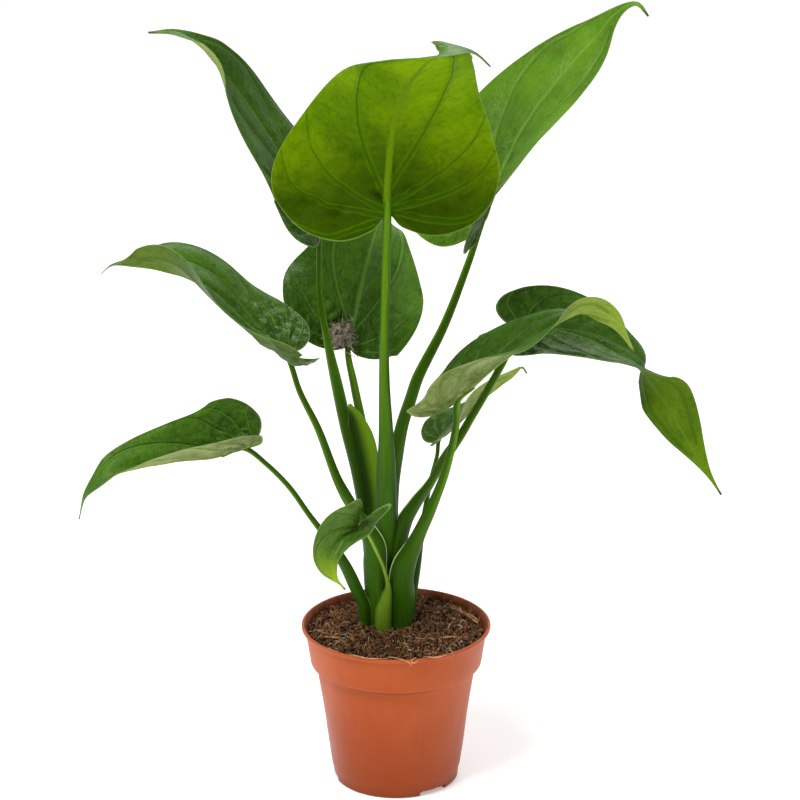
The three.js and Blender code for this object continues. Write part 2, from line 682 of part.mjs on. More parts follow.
/** A stalk as a tapered tube: its section is an ellipse, hollowed on the inner side where it is a sheath. */
function stalkGeometry(stations, open, grow) {
  const knots = chainKnots(stations);
  const length = knots.at(-1);
  const rings = Math.min(Math.ceil(length / STALK.ringStep), STALK.ringMost);
  const tube = new THREE.CylinderGeometry(1, 1, 1, STALK.sides, rings);
  const position = tube.getAttribute("position");
  const wrapped = new THREE.Vector3(CROWN.x, CROWN.y + STALK.wrapBehind, 0);
  const axis = (at) => (open ? new THREE.Vector3(...open, 0) : wrapped.clone().sub(at).setZ(0));
  for (let i = 0; i < position.count; i += 1) {
    const place = (position.getY(i) + 0.5) * length;
    const frame = frameOn(knots, stations, place, axis);
    const [across, deep] = throughVectors(knots, stations.map((s) => s.half), place);
    const groove = through(knots, stations.map((s) => s.groove), place);
    const x = position.getX(i) * (across + grow);
    const inward = position.getZ(i);
    const y = inward * ((inward > 0 ? deep * (1 - groove) : deep) + grow);
    const point = frame.at.addScaledVector(frame.side, x).addScaledVector(frame.up, y);
    if (place === length) point.addScaledVector(frame.along, grow);
    position.setXYZ(i, ...point);
  }
  return tube;
}

// Pot

/** The pot's wall and floor, turned round its axis, then its drain holes and foot notches cut out. */
function potSolid() {
  const { height, rimRadius, bandHeight, bandTopRadius, bandFootRadius, wall } = POT;
  const { bodyTopRadius, bodyFootRadius } = POT;
  const ledge = height - bandHeight;
  const floorTop = POT.floorLift + POT.floor;
  const profile = [
    [0, 0],
    [POT.padRadius, 0],
    [POT.padRadius + POT.floorLift, POT.floorLift],
    [POT.footRadius - POT.footRingWidth - POT.floorLift, POT.floorLift],
    [POT.footRadius - POT.footRingWidth, 0],
    [POT.footRadius, 0],
    [POT.footRadius + POT.footBevel, POT.footBevel],
    [bodyFootRadius - POT.footSwell, POT.footHeight - 3 * POT.footSwell],
    [bodyFootRadius, POT.footHeight],
    [bodyTopRadius, ledge],
    [bandFootRadius - POT.ledgeRound, ledge],
    [bandFootRadius, ledge + POT.ledgeRound],
    [bandTopRadius, height - POT.lipHeight],
    [rimRadius - POT.lipRound, height - 2 * POT.lipFlat],
    [rimRadius, height - POT.lipFlat],
    [rimRadius - POT.lipRound, height],
    [rimRadius - POT.lipWall, height],
    [bandTopRadius - wall, height - POT.lipHeight],
    [bandFootRadius - wall, ledge + wall + POT.ledgeRound],
    [bodyTopRadius - wall, ledge + wall - POT.ledgeRound],
    [bodyFootRadius - wall, POT.footHeight],
    [POT.footRadius - wall, floorTop],
    [0, floorTop],
  ].map(([radius, z]) => new THREE.Vector2(radius, z));
  const turned = new THREE.LatheGeometry(profile, POT.sides).rotateX(Math.PI / 2);
  let pot = solidOf(turned);
  for (let i = 0; i < DRAIN.holeCount; i += 1) {
    const turn = (2 * Math.PI * i) / DRAIN.holeCount;
    const hole = new THREE.CylinderGeometry(DRAIN.holeRadius, DRAIN.holeRadius, DRAIN.cutLength, DRAIN.sides);
    hole.rotateX(Math.PI / 2);
    hole.translate(DRAIN.holeCircle * Math.cos(turn), DRAIN.holeCircle * Math.sin(turn), 0);
    pot = pot.subtract(solidOf(hole));
  }
  for (let i = 0; i < DRAIN.notchCount; i += 1) {
    const notch = new THREE.BoxGeometry(DRAIN.notchWidth, DRAIN.notchReach, 2 * DRAIN.notchHeight);
    notch.translate(0, -POT.footRadius, 0);
    notch.rotateZ(THREE.MathUtils.degToRad(DRAIN.notchTurn + (360 * i) / DRAIN.notchCount));
    pot = pot.subtract(solidOf(notch));
  }
  return pot;
}

/** The inner radius of the pot at a height. */
function potInside(z) {
  const ledge = POT.height - POT.bandHeight + POT.wall;
  if (z > ledge) {
    const share = (z - ledge) / (POT.height - POT.lipHeight - ledge);
    return POT.bandFootRadius - POT.wall + share * (POT.bandTopRadius - POT.bandFootRadius);
  }
  const share = (z - POT.footHeight) / (ledge - POT.footHeight);
  return POT.bodyFootRadius - POT.wall + share * (POT.bodyTopRadius - POT.bodyFootRadius);
}

/** The soil before its stem holes are cut: it fills the pot, and its surface is lumpy. */
function soilSolid() {
  const bottom = POT.floorLift + POT.floor + CLEARANCE;
  const ledge = POT.height - POT.bandHeight;
  const edge = SOIL.surface - SOIL.edgeDrop;
  const gap = SOIL.fit;
  const profile = [
    [0, bottom],
    [POT.footRadius - POT.wall - gap, bottom],
    [potInside(POT.footHeight) - gap, POT.footHeight],
    [POT.bodyTopRadius - POT.wall - gap, ledge + POT.wall],
    [POT.bandFootRadius - POT.wall - gap, ledge + POT.wall + POT.ledgeRound + 1],
    [potInside(edge) - gap, edge],
  ];
  for (let i = SOIL.rings - 1; i >= 0; i -= 1) {
    profile.push([((potInside(edge) - gap) * i) / SOIL.rings, SOIL.surface]);
  }
  const turned = new THREE.LatheGeometry(profile.map(([r, z]) => new THREE.Vector2(r, z)), SOIL.sides);
  turned.rotateX(Math.PI / 2);
  const position = turned.getAttribute("position");
  for (let i = 0; i < position.count; i += 1) {
    const [x, y, z] = [position.getX(i), position.getY(i), position.getZ(i)];
    if (z > (edge + SOIL.surface) / 2) {
      const lump = SOIL.lumps.reduce((sum, [high, alongX, alongY, start]) => {
        return sum + high * Math.sin(alongX * x + alongY * y + start);
      }, 0);
      const heap = SOIL.heap * Math.exp(-(((x - CROWN.x) ** 2 + (y - CROWN.y) ** 2) / SOIL.heapReach ** 2));
      position.setZ(i, z + lump + heap);
    }
  }
  return solidOf(turned);
}

/** The short stem in the soil that every stalk rises from. */
function crownSolid(grow) {
  const { radius, bottom, top } = CROWN;
  const profile = [
    [0, bottom - grow],
    [CROWN.footShare * radius + grow, bottom - grow],
    [radius + grow, bottom + CROWN.footRise],
    [radius + grow, top + grow],
    [0, top + grow],
  ].map(([r, z]) => new THREE.Vector2(r, z));
  const turned = new THREE.LatheGeometry(profile, CROWN.sides).rotateX(Math.PI / 2);
  turned.translate(CROWN.x, CROWN.y, 0);
  return solidOf(turned);
}

// Assembly

const plant = new THREE.Group();
const pot = potSolid();
const grownCrown = crownSolid(CLEARANCE);
let soil = soilSolid().subtract(grownCrown);

plant.add(meshOf("pot", pot, COLOURS.pot, 0.55));
plant.add(meshOf("crown", crownSolid(0), COLOURS.stalk, 0.6));

let taken = grownCrown;
for (const [name, leaf] of Object.entries(LEAVES)) {
  if (leaf.midrib) {
    plant.add(meshOf("blade_" + name, solidOf(bladeGeometry(leaf, 0)), COLOURS.blade, 0.45));
    const seat = new THREE.IcosahedronGeometry(BLADE.seatRadius, 2).translate(...leaf.midrib[0].at);
    taken = taken.add(solidOf(bladeGeometry(leaf, 2 * CLEARANCE))).add(solidOf(seat));
  }
  const stalk = solidOf(stalkGeometry(leaf.stalk, leaf.open, 0));
  plant.add(meshOf("stalk_" + name, largest(stalk.subtract(taken)), COLOURS.stalk, 0.5));
  const grown = solidOf(stalkGeometry(leaf.stalk, leaf.open, CLEARANCE));
  taken = taken.add(grown);
  soil = soil.subtract(grown);
}
plant.add(meshOf("soil", largest(soil), COLOURS.soil, 0.95));

export default plant;
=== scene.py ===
"""A young alocasia in a plastic nursery pot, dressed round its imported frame.

Sizes are in millimetres, as in the part's source, and become metres when a mesh is finished.
"""

import logging
import math
import random
from dataclasses import dataclass
from enum import Enum

import bmesh
import bpy
import numpy as np
from mathutils import Matrix, Vector, noise


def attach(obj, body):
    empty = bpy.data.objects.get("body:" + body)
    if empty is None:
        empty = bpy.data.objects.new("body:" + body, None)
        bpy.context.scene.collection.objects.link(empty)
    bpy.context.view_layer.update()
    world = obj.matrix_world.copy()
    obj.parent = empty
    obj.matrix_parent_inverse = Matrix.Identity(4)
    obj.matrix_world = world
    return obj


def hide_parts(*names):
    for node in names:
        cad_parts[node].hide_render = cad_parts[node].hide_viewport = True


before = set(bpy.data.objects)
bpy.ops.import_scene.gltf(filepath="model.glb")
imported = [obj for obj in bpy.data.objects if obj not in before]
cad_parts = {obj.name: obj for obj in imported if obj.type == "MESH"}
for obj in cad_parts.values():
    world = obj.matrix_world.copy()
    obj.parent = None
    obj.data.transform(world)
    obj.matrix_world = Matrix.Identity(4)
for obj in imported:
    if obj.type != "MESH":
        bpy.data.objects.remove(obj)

LOG = logging.getLogger("alocasia")
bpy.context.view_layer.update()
BODY = "root"
MM = 0.001
FULL_TURN = 2 * math.pi
# vertices closer together than this, in metres, are one vertex
SAME_PLACE = 1e-6

Point = tuple[float, float, float]
Colour = tuple[float, float, float]


# Leaf data, as in the part's source


@dataclass(frozen=True)
class Rib:
    """A station of a midrib: its place, the rise and the curl of each half, and the way its face looks.

    look is the turn of the face about the midrib, in degrees, or the direction that it faces.
    """

    at: Point
    fold: tuple[float, float]
    curl: tuple[float, float]
    look: tuple[float, ...]


@dataclass(frozen=True)
class Ring:
    """A station of a stalk: its place, half its width and depth, and how far its inner side is hollowed."""

    at: Point
    half: tuple[float, float]
    groove: float = 0.0


@dataclass(frozen=True)
class Leaf:
    """One leaf: the sizes of its blade, and its stalk's stations from the crown up."""

    name: str
    stalk: tuple[Ring, ...]
    half_width: tuple[float, float] = (0.0, 0.0)
    fullness: tuple[float, float] = (0.0, 0.0)
    lobe: tuple[float, float] = (0.0, 0.0)
    lobe_curl: float = 0.0
    wave: tuple[float, float, float] = (0.0, 0.0, 0.0)
    puff: float = 0.0
    midrib: tuple[Rib, ...] = ()
    open: tuple[float, float] | None = None


def ribs(*rows: tuple[float, ...]) -> tuple[Rib, ...]:
    """Midrib stations from rows of a place, the two folds, the two curls and the look."""
    return tuple(Rib(row[:3], row[3:5], row[5:7], row[7:]) for row in rows)


def rings(*rows: tuple[float, ...]) -> tuple[Ring, ...]:
    """Stalk stations from rows of a place, half the width and depth and, where there is one, the groove."""
    return tuple(Ring(row[:3], row[3:5], *row[5:]) for row in rows)


LEAVES = (
    Leaf(
        name="front", half_width=(68, 69), fullness=(0.4, -0.15), lobe=(0.52, 0.62), lobe_curl=-40,
        wave=(2, 2.5, 0.4), puff=1.6,
        midrib=ribs(
            (-5, -35, 382, 8, 6, 8, 6, 0, 0.95, 0.3), (-5, -43, 401, 8, 6, 8, 6, 0, 0.9, 0.35),
            (-3, -60, 428, 10, 14, 10, 26, 0, 0.8, 0.5), (0, -80, 451, 12, 20, 14, 44, 0, 0.65, 0.7),
            (6, -100, 470, 12, 20, 16, 42, 0, 0.5, 0.8), (14, -118, 486, 10, 12, 14, 20, 0, 0.4, 0.9),
            (23, -130, 496, 8, 2, 8, 0, 0, 0.1, 0.95), (33, -126, 498, 4, 4, 4, 4, 0, -0.2, 0.95),
            (44, -114, 494, 8, 8, 4, 4, 0.1, -0.35, 0.9), (53, -106, 485, 8, 8, 4, 4, 0.2, -0.5, 0.85),
        ),
        stalk=rings(
            (-5, 8, 86, 5.5, 5), (-6, 4, 145, 6, 5.5), (-6, -2, 186, 6.5, 6), (-6, -7, 209, 6, 5.8),
            (-6, -11, 231, 4.8, 4.8), (-7, -18, 269, 3.4, 3.4), (-7, -23, 302, 2.9, 2.9),
            (-5, -35, 382, 2.5, 2.5),
        ),
    ),
    Leaf(
        name="bud", open=(-0.3, -1),
        stalk=rings(
            (-8, 10, 86, 5, 4, 0.2), (-11, 9, 143, 6, 4.5, 0.6), (-14, 8, 184, 6.5, 4.5, 1.1),
            (-17, 8, 204, 7.5, 4.5, 1.3), (-21, 8, 224, 8, 4.5, 1.4), (-25, 9, 237, 5.4, 3.4, 1.4),
            (-29, 10, 247, 0.9, 0.9, 0.4),
        ),
    ),
    Leaf(
        name="upper_left", half_width=(52, 46), fullness=(0.4, 0), lobe=(0.6, 0.35), lobe_curl=10,
        wave=(2.5, 2.5, 0.1), puff=1.8,
        midrib=ribs(
            (-48, 18, 361, 2, 2, 8, 8, 72), (-55, 26, 376, 2, 2, 8, 8, 72),
            (-69, 32, 398, 2, 0, 8, 8, 72), (-88, 32, 428, 6, 4, 8, 8, 72),
            (-105, 26, 454, 20, 12, 10, 8, 66), (-119, 16, 473, 45, 25, 10, 8, 62),
            (-132, 8, 482, 40, 20, 5, 5, 60), (-147, 0, 483, 10, 10, 5, 5, 60),
        ),
        stalk=rings(
            (-12, 12, 86, 5, 4.5), (-17, 14, 155, 5, 4.5), (-24, 14, 199, 4.4, 4),
            (-31, 14, 230, 4, 4), (-37, 15, 259, 3.6, 3.6), (-42, 15, 284, 2.6, 2.6),
            (-47, 16, 316, 1.8, 1.8), (-48, 18, 361, 1.6, 1.6),
        ),
    ),
    Leaf(
        name="upper_right", half_width=(72, 54), fullness=(0, 0.15), lobe=(0.7, 0.8), lobe_curl=0,
        wave=(2.5, 2.5, 0.6), puff=1.8,
        midrib=ribs(
            (53, 28, 359, 8, 35, 10, 10, -66), (64, 38, 385, 10, 20, 10, 10, -66),
            (80, 50, 415, 10, 8, 10, 10, -66), (101, 58, 443, 10, -2, 10, 10, -66),
            (121, 60, 466, 12, -12, 10, 5, -64), (136, 58, 484, 15, -10, 10, 5, -62),
            (147, 54, 490, 15, 0, 5, 5, -60), (154, 50, 483, 10, 10, 5, 5, -60),
        ),
        stalk=rings(
            (-2, 12, 86, 5.5, 5), (-4, 11, 156, 5.5, 5), (-3, 11, 190, 5, 4.8), (0, 11, 213, 4.8, 4.6),
            (4, 12, 233, 4.2, 4), (9, 13, 249, 3.8, 3.8), (14, 14, 264, 3.6, 3.6),
            (30, 18, 296, 2.8, 2.8), (45, 24, 335, 2.2, 2.2), (53, 28, 359, 1.9, 1.9),
        ),
    ),
    Leaf(
        name="back", half_width=(64, 54), fullness=(0, 0), lobe=(0.3, 0.3), lobe_curl=60,
        wave=(2, 2.5, 0.3), puff=1.8,
        midrib=ribs(
            (-31, 70, 265, 8, 8, 90, 90, 0), (-26, 78, 286, 8, 8, 50, 60, 0),
            (-21, 90, 306, 8, 8, 5, 20, 0), (-16, 104, 323, 8, 8, 15, 20, 0),
            (-11, 118, 335, 8, 8, 30, 30, 0), (-6, 134, 340, 8, 8, 20, 20, 0),
            (-1, 152, 334, 8, 8, 10, 10, 0),
        ),
        stalk=rings(
            (-4, 18, 86, 4.5, 4), (-12, 20, 152, 4, 3.5), (-16, 28, 197, 3, 3),
            (-22, 38, 227, 2.8, 2.8), (-27, 50, 248, 2.5, 2.5), (-31, 70, 265, 1.8, 1.8),
        ),
    ),
    Leaf(
        name="middle_left", half_width=(42, 42), fullness=(0.6, 0.6), lobe=(1.3, 0.75), lobe_curl=85,
        wave=(2, 2, 0.5), puff=1.6,
        midrib=ribs(
            (-69, -4, 287, 0, 4, 70, 5, 76), (-89, -8, 303, 0, 4, 60, 5, 77),
            (-108, -14, 324, 4, 4, 40, 5, 78), (-124, -18, 336, 22, 6, 20, 10, 80),
            (-142, -22, 343, 55, 10, 10, 10, 82), (-158, -24, 346, 70, 10, 5, 5, 86),
            (-170, -26, 347, 65, 10, 5, 5, 90), (-177, -28, 342, 40, 10, 5, 5, 95),
        ),
        stalk=rings(
            (-8, 5, 86, 7, 6), (-12, 0, 123, 7.8, 6.5), (-13, -2, 145, 8, 6.5),
            (-13, -3, 158, 7.5, 6.5), (-17, -3, 168, 6.6, 6), (-24, -3, 180, 4.8, 4.6),
            (-31, -3, 191, 3.8, 3.8), (-37, -3, 203, 2.9, 2.9), (-48, -4, 235, 2.3, 2.3),
            (-59, -4, 259, 1.9, 1.9), (-69, -4, 287, 1.6, 1.6),
        ),
    ),
    Leaf(
        name="right_top", half_width=(30, 33), fullness=(0.25, 0.3), lobe=(0.6, 0.9), lobe_curl=20,
        wave=(2, 2, 0.2), puff=1.6,
        midrib=ribs(
            (78, 18, 294, 14, 5, 24, 10, -62), (95, 16, 294, 12, 5, 30, 10, -66),
            (117, 12, 289, 10, 5, 30, 10, -72), (137, 8, 280, 10, 10, 10, 10, -80),
            (151, 4, 272, 10, 10, 5, 5, -94), (159, 3, 262, 5, 5, 5, 5, -130),
            (167, 1, 251, 5, 5, 5, 5, -165), (178, 0, 232, 5, 5, 5, 5, -178),
            (191, -2, 211, 5, 5, 5, 5, -178), (203, -4, 192, 5, 5, 5, 5, -178),
        ),
        stalk=rings(
            (-2, 5, 86, 6, 5), (0, 4, 148, 6, 5), (4, 5, 170, 6.6, 5.5), (11, 6, 184, 6.4, 5.5),
            (18, 7, 194, 5.8, 5), (24, 8, 203, 4.8, 4.2), (31, 8, 213, 3.4, 3.4),
            (40, 9, 226, 2.8, 2.8), (47, 11, 238, 2.6, 2.6), (55, 12, 252, 2.5, 2.5),
            (66, 14, 272, 2.3, 2.3), (78, 18, 294, 2, 2),
        ),
    ),
    Leaf(
        name="low_left", half_width=(30, 33), fullness=(0.2, 0.2), lobe=(0.7, 0.9), lobe_curl=20,
        wave=(1.5, 2, 0.3), puff=1.4,
        midrib=ribs(
            (-94, -16, 227, 48, 40, 10, 30, 71), (-111, -20, 223, 48, 40, 10, 30, 71),
            (-135, -26, 222, 48, 40, 10, 30, 71), (-157, -32, 220, 44, 36, 10, 20, 71),
            (-174, -38, 217, 30, 25, 10, 10, 70), (-189, -40, 206, 10, 10, 5, 5, 70),
            (-194, -42, 190, 5, 5, 5, 5, 70),
        ),
        stalk=rings(
            (-17, 6, 86, 4.5, 4.5), (-19, 3, 106, 4.8, 4.6), (-20, 0, 118, 5.6, 5),
            (-25, -4, 131, 5.2, 4.8), (-30, -6, 143, 4.8, 4.4), (-37, -9, 156, 3.2, 3.2),
            (-44, -11, 167, 2.2, 2.2), (-54, -13, 182, 1.8, 1.8), (-66, -15, 201, 1.7, 1.7),
            (-80, -17, 217, 1.6, 1.6), (-94, -16, 227, 1.6, 1.6),
        ),
    ),
    Leaf(
        name="right_middle", half_width=(34, 34), fullness=(0.25, 0.35), lobe=(1, 1.45), lobe_curl=42,
        wave=(1.5, 2, 0.2), puff=1.4,
        midrib=ribs(
            (38, -24, 261, 22, 36, 10, 10, -90), (49, -27, 273, 20, 38, 10, 10, -90),
            (63, -30, 287, 16, 30, 10, 10, -88), (81, -32, 301, 14, 10, 10, 10, -88),
            (99, -34, 314, 14, 4, 10, 10, -100), (116, -36, 321, 10, 10, 5, 5, -130),
            (130, -38, 316, 8, 8, 5, 5, -145), (144, -40, 296, 8, 8, 5, 5, -150),
        ),
        stalk=rings(
            (1.5, 4, 86, 7.5, 6.5), (4, -1, 120, 8.4, 6.6), (3, -4, 135, 8.3, 6.6),
            (5, -5, 147, 8.2, 6.6), (10, -6, 159, 6.6, 6), (15, -8, 170, 4.8, 4.6),
            (20, -10, 181, 3.8, 3.8), (25, -12, 194, 3.1, 3.1), (30, -14, 209, 2.7, 2.7),
            (34, -17, 226, 2.4, 2.4), (37, -20, 244, 2.2, 2.2), (38, -24, 261, 2, 2),
        ),
    ),
    Leaf(
        name="right_low", half_width=(26, 26), fullness=(0.35, 0.35), lobe=(0.8, 0.8), lobe_curl=10,
        wave=(1, 2, 0.7), puff=1,
        midrib=ribs(
            (29, 36, 216, 14, 14, 10, 10, -90), (41, 40, 226, 14, 14, 10, 10, -95),
            (53, 44, 237, 14, 14, 10, 10, -108), (66, 47, 247, 12, 12, 10, 10, -122),
            (75, 49, 255, 8, 8, 10, 10, -130), (80, 50, 258, 5, 5, 5, 5, -130),
            (83, 50, 254, 5, 5, 5, 5, -130),
        ),
        stalk=rings(
            (6, 12, 86, 5, 4), (11, 13, 124, 3.5, 3.2), (13, 16, 137, 3, 3), (16, 20, 156, 2, 2),
            (19, 24, 175, 1.6, 1.6), (22, 28, 190, 1.4, 1.4), (26, 32, 205, 1.3, 1.3),
            (28, 36, 216, 1.3, 1.3),
        ),
    ),
    Leaf(
        name="small", half_width=(13, 24), fullness=(0, 0), lobe=(2.6, 0.5), lobe_curl=10,
        wave=(1, 2, 0.4), puff=1,
        midrib=ribs(
            (-22, -38, 186, 62, 45, 10, 10, 5), (-26, -43, 183, 62, 35, 10, 10, 5),
            (-35, -49, 178, 60, 15, 10, 10, 5), (-40, -55, 170, 40, 10, 10, 10, 0),
            (-38, -58, 160, 15, 15, 5, 5, 0), (-31, -60, 151, 5, 5, 5, 5, 0),
        ),
        stalk=rings(
            (-8, 0, 86, 5, 4.5), (-8, -4, 113, 5.5, 4.5), (-6, -7, 125, 3.6, 3.2),
            (-5, -11, 134, 1.7, 1.7), (-8, -15, 148, 1.1, 1.1), (-12, -20, 160, 1.1, 1.1),
            (-17, -28, 174, 1, 1), (-22, -38, 186, 1, 1),
        ),
    ),
)

# half of a leaf's outline, from the notch at the stalk round the lobe to the drip tip:
# place along the outline, share of the length, share of the half width
OUTLINE = np.array((
    (0, -0.02, 0.03), (0.06, -0.11, 0.14), (0.14, -0.17, 0.42), (0.22, -0.13, 0.74), (0.3, -0.02, 0.94),
    (0.38, 0.11, 1), (0.48, 0.27, 0.83), (0.58, 0.43, 0.64), (0.68, 0.58, 0.46), (0.78, 0.72, 0.28),
    (0.86, 0.81, 0.14), (0.93, 0.9, 0.045), (1, 1, 0.012),
))

CROWN_MIDDLE = (-5.0, 7.0)

# Curves


def smooth_through(knots: np.ndarray, values: np.ndarray, places: np.ndarray) -> np.ndarray:
    """A smooth curve's values, through one value at each knot.

    Args:
        knots: Rising places of the known values.
        values: The known values, one row to a knot, with any number of columns.
        places: Where the curve is read, an array of any shape.

    Returns:
        The values, in the shape of places with the columns behind.
    """
    table = np.asarray(values, float).reshape(len(knots), -1)
    slopes = np.empty_like(table)
    slopes[1:-1] = (table[2:] - table[:-2]) / (knots[2:] - knots[:-2])[:, None]
    slopes[0] = (table[1] - table[0]) / (knots[1] - knots[0])
    slopes[-1] = (table[-1] - table[-2]) / (knots[-1] - knots[-2])
    places = np.asarray(places, float)
    low = np.searchsorted(knots[1:-1], places, side="left")
    span = (knots[low + 1] - knots[low])[..., None]
    t = (places - knots[low])[..., None] / span
    rise = table[low + 1] - table[low]
    start = slopes[low] * span
    end = slopes[low + 1] * span
    return table[low] + t * (start + t * (3 * rise - 2 * start - end + t * (start + end - 2 * rise)))


def smooth_number(knots: np.ndarray, values: np.ndarray, places: np.ndarray) -> np.ndarray:
    """The same for plain numbers, in the shape of places."""
    return smooth_through(knots, values, places)[..., 0]


def unit(vectors: np.ndarray) -> np.ndarray:
    """Vectors of length one, along the last axis."""
    return vectors / np.maximum(np.linalg.norm(vectors, axis=-1, keepdims=True), 1e-9)


def dot(a: np.ndarray, b: np.ndarray) -> np.ndarray:
    """Dot products along the last axis, which is kept."""
    return np.sum(a * b, axis=-1, keepdims=True)


def step_between(low: float, high: float, values: np.ndarray) -> np.ndarray:
    """A smooth step from 0 at low to 1 at high."""
    t = np.clip((values - low) / (high - low), 0, 1)
    return t * t * (3 - 2 * t)


class Chain:
    """A smooth line through a chain of stations, read by its length."""

    SLOPE_SHARE = 1 / 400

    def __init__(self, points: list[Point]) -> None:
        """Measures the chain.

        Args:
            points: The stations' places.
        """
        self.points = np.array(points, float)
        steps = np.linalg.norm(np.diff(self.points, axis=0), axis=1)
        self.knots = np.concatenate([[0], np.cumsum(steps)])
        self.length = float(self.knots[-1])

    def at(self, place: np.ndarray) -> np.ndarray:
        """The line's points at places along it."""
        return smooth_through(self.knots, self.points, place)

    def along(self, place: np.ndarray) -> np.ndarray:
        """The line's directions at places along it.

        Args:
            place: Distances along the line.

        Returns:
            Vectors of length one.
        """
        nudge = self.length * self.SLOPE_SHARE
        low = np.maximum(place - nudge, 0)
        high = np.minimum(place + nudge, self.length)
        return unit(self.at(high) - self.at(low))

    def read(self, values: list[float], place: np.ndarray) -> np.ndarray:
        """Numbers given at the stations, read at places along the line."""
        return smooth_number(self.knots, np.array(values, float), place)


# Meshes


def finished_piece(name: str, made: bmesh.types.BMesh, materials: list[bpy.types.Material],
                   sharp_degrees: float = 50.0) -> bpy.types.Object:
    """Turns a bmesh into a smooth-shaded object at the origin.

    Args:
        name: The piece's name.
        made: The mesh, in metres. It is freed.
        materials: Its materials, in the order of its faces' numbers.
        sharp_degrees: Edges that turn by more than this stay sharp.

    Returns:
        The object.
    """
    mesh = bpy.data.meshes.new(name)
    made.to_mesh(mesh)
    made.free()
    for material in materials:
        mesh.materials.append(material)
    mesh.shade_smooth()
    mesh.set_sharp_from_angle(angle=math.radians(sharp_degrees))
    piece = bpy.data.objects.new(name, mesh)
    bpy.context.collection.objects.link(piece)
    return piece


def add_leaf_map(piece: bpy.types.Object, places: np.ndarray) -> None:
    """Lays a piece's flat coordinates on it as a map.

    Args:
        piece: The piece.
        places: A pair of numbers to each of its vertices.
    """
    mesh = piece.data
    corners = np.empty(len(mesh.loops), int)
    mesh.loops.foreach_get("vertex_index", corners)
    mesh.uv_layers.new(name="leaf").data.foreach_set("uv", places[corners].astype(np.float32).ravel())


def add_values(piece: bpy.types.Object, name: str, values: np.ndarray) -> None:
    """Keeps a number, or three, on each vertex of a piece.

    Args:
        piece: The piece.
        name: What the numbers are called.
        values: One row to a vertex.
    """
    kind, field = ("FLOAT", "value") if values.ndim == 1 else ("FLOAT_VECTOR", "vector")
    layer = piece.data.attributes.new(name, kind, "POINT")
    layer.data.foreach_set(field, values.astype(np.float32).ravel())


def place_on_frame(piece: bpy.types.Object, slot: str, *nodes: str) -> None:
    """Makes a piece ride with the part and stand for its nodes.

    Args:
        piece: The piece.
        slot: The slot's name; it is not used.
        nodes: The frame's nodes that it replaces.
    """
    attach(piece, BODY)
    if nodes:
        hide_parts(*nodes)
    LOG.info("%s: %d faces for %s", piece.name, len(piece.data.polygons), ", ".join(nodes) or "no node")


def cut_away(piece: bpy.types.Object, cutter: bmesh.types.BMesh) -> None:
    """Cuts a closed mesh out of a piece, and merges the vertices that the cut leaves at one place.

    Args:
        piece: The piece.
        cutter: What is cut out of it, in metres. It is freed.
    """
    tool = finished_piece(f"{piece.name}_cutter", cutter, [])
    cut = piece.modifiers.new("cut", "BOOLEAN")
    cut.operation, cut.solver, cut.object = "DIFFERENCE", "EXACT", tool
    seen = piece.evaluated_get(bpy.context.evaluated_depsgraph_get())
    mesh = bpy.data.meshes.new_from_object(seen)
    piece.modifiers.clear()
    piece.data = mesh
    bpy.data.objects.remove(tool)
    whole = bmesh.new()
    whole.from_mesh(mesh)
    bmesh.ops.remove_doubles(whole, verts=whole.verts, dist=SAME_PLACE)
    whole.to_mesh(mesh)
    whole.free()


def spun(profile: list[tuple[float, float]], steps: int) -> bmesh.types.BMesh:
    """Spins an outline round the upright axis into a closed skin.

    Args:
        profile: Radius and height, in millimetres, from axis to axis.
        steps: How many steps a turn has.

    Returns:
        The skin, in metres, facing out.
    """
    made = bmesh.new()
    chain = [made.verts.new((radius * MM, 0, z * MM)) for radius, z in profile]
    edges = [made.edges.new(pair) for pair in zip(chain, chain[1:])]
    bmesh.ops.spin(made, geom=[*chain, *edges], cent=(0, 0, 0), axis=(0, 0, 1), dvec=(0, 0, 0),
                   angle=FULL_TURN, steps=steps, use_merge=True, use_duplicate=False)
    bmesh.ops.remove_doubles(made, verts=made.verts, dist=SAME_PLACE)
    bmesh.ops.recalc_face_normals(made, faces=made.faces)
    return made


def repeat(made: bmesh.types.BMesh, count: int) -> None:
    """Repeats a small closed mesh, one copy behind another.

    Args:
        made: The mesh.
        count: How many times it is there in the end.
    """
    sizes = [len(parts) for parts in (made.verts, made.edges, made.faces)]
    have = 1
    while have < count:
        more = min(have, count - have)
        copied = []
        for parts, size in zip((made.verts, made.edges, made.faces), sizes):
            parts.ensure_lookup_table()
            copied += parts[:more * size]
        bmesh.ops.duplicate(made, geom=copied)
        have += more
    made.verts.ensure_lookup_table()


def drawn_tube(made: bmesh.types.BMesh, sides: int, steps: int) -> list[list[bmesh.types.BMVert]]:
    """Extrudes a ring of vertices into a closed tube, still without its shape.

    Args:
        made: The empty mesh that it is drawn in.
        sides: How many vertices a ring has.
        steps: How many rings follow the first.

    Returns:
        The rings, each with its vertices in order.
    """
    bmesh.ops.create_circle(made, cap_ends=True, segments=sides, radius=1.0)
    loop = list(made.edges)
    order = [ring_order(loop)]
    for _ in range(steps):
        grown = bmesh.ops.extrude_edge_only(made, edges=loop)["geom"]
        loop = [g for g in grown if isinstance(g, bmesh.types.BMEdge) and len(g.link_faces) == 1]
        fresh = {v for edge in loop for v in edge.verts}
        order.append([next(e.other_vert(v) for e in v.link_edges if e.other_vert(v) in fresh)
                      for v in order[-1]])
    bmesh.ops.contextual_create(made, geom=[*order[-1], *loop])
    made.verts.index_update()
    return order


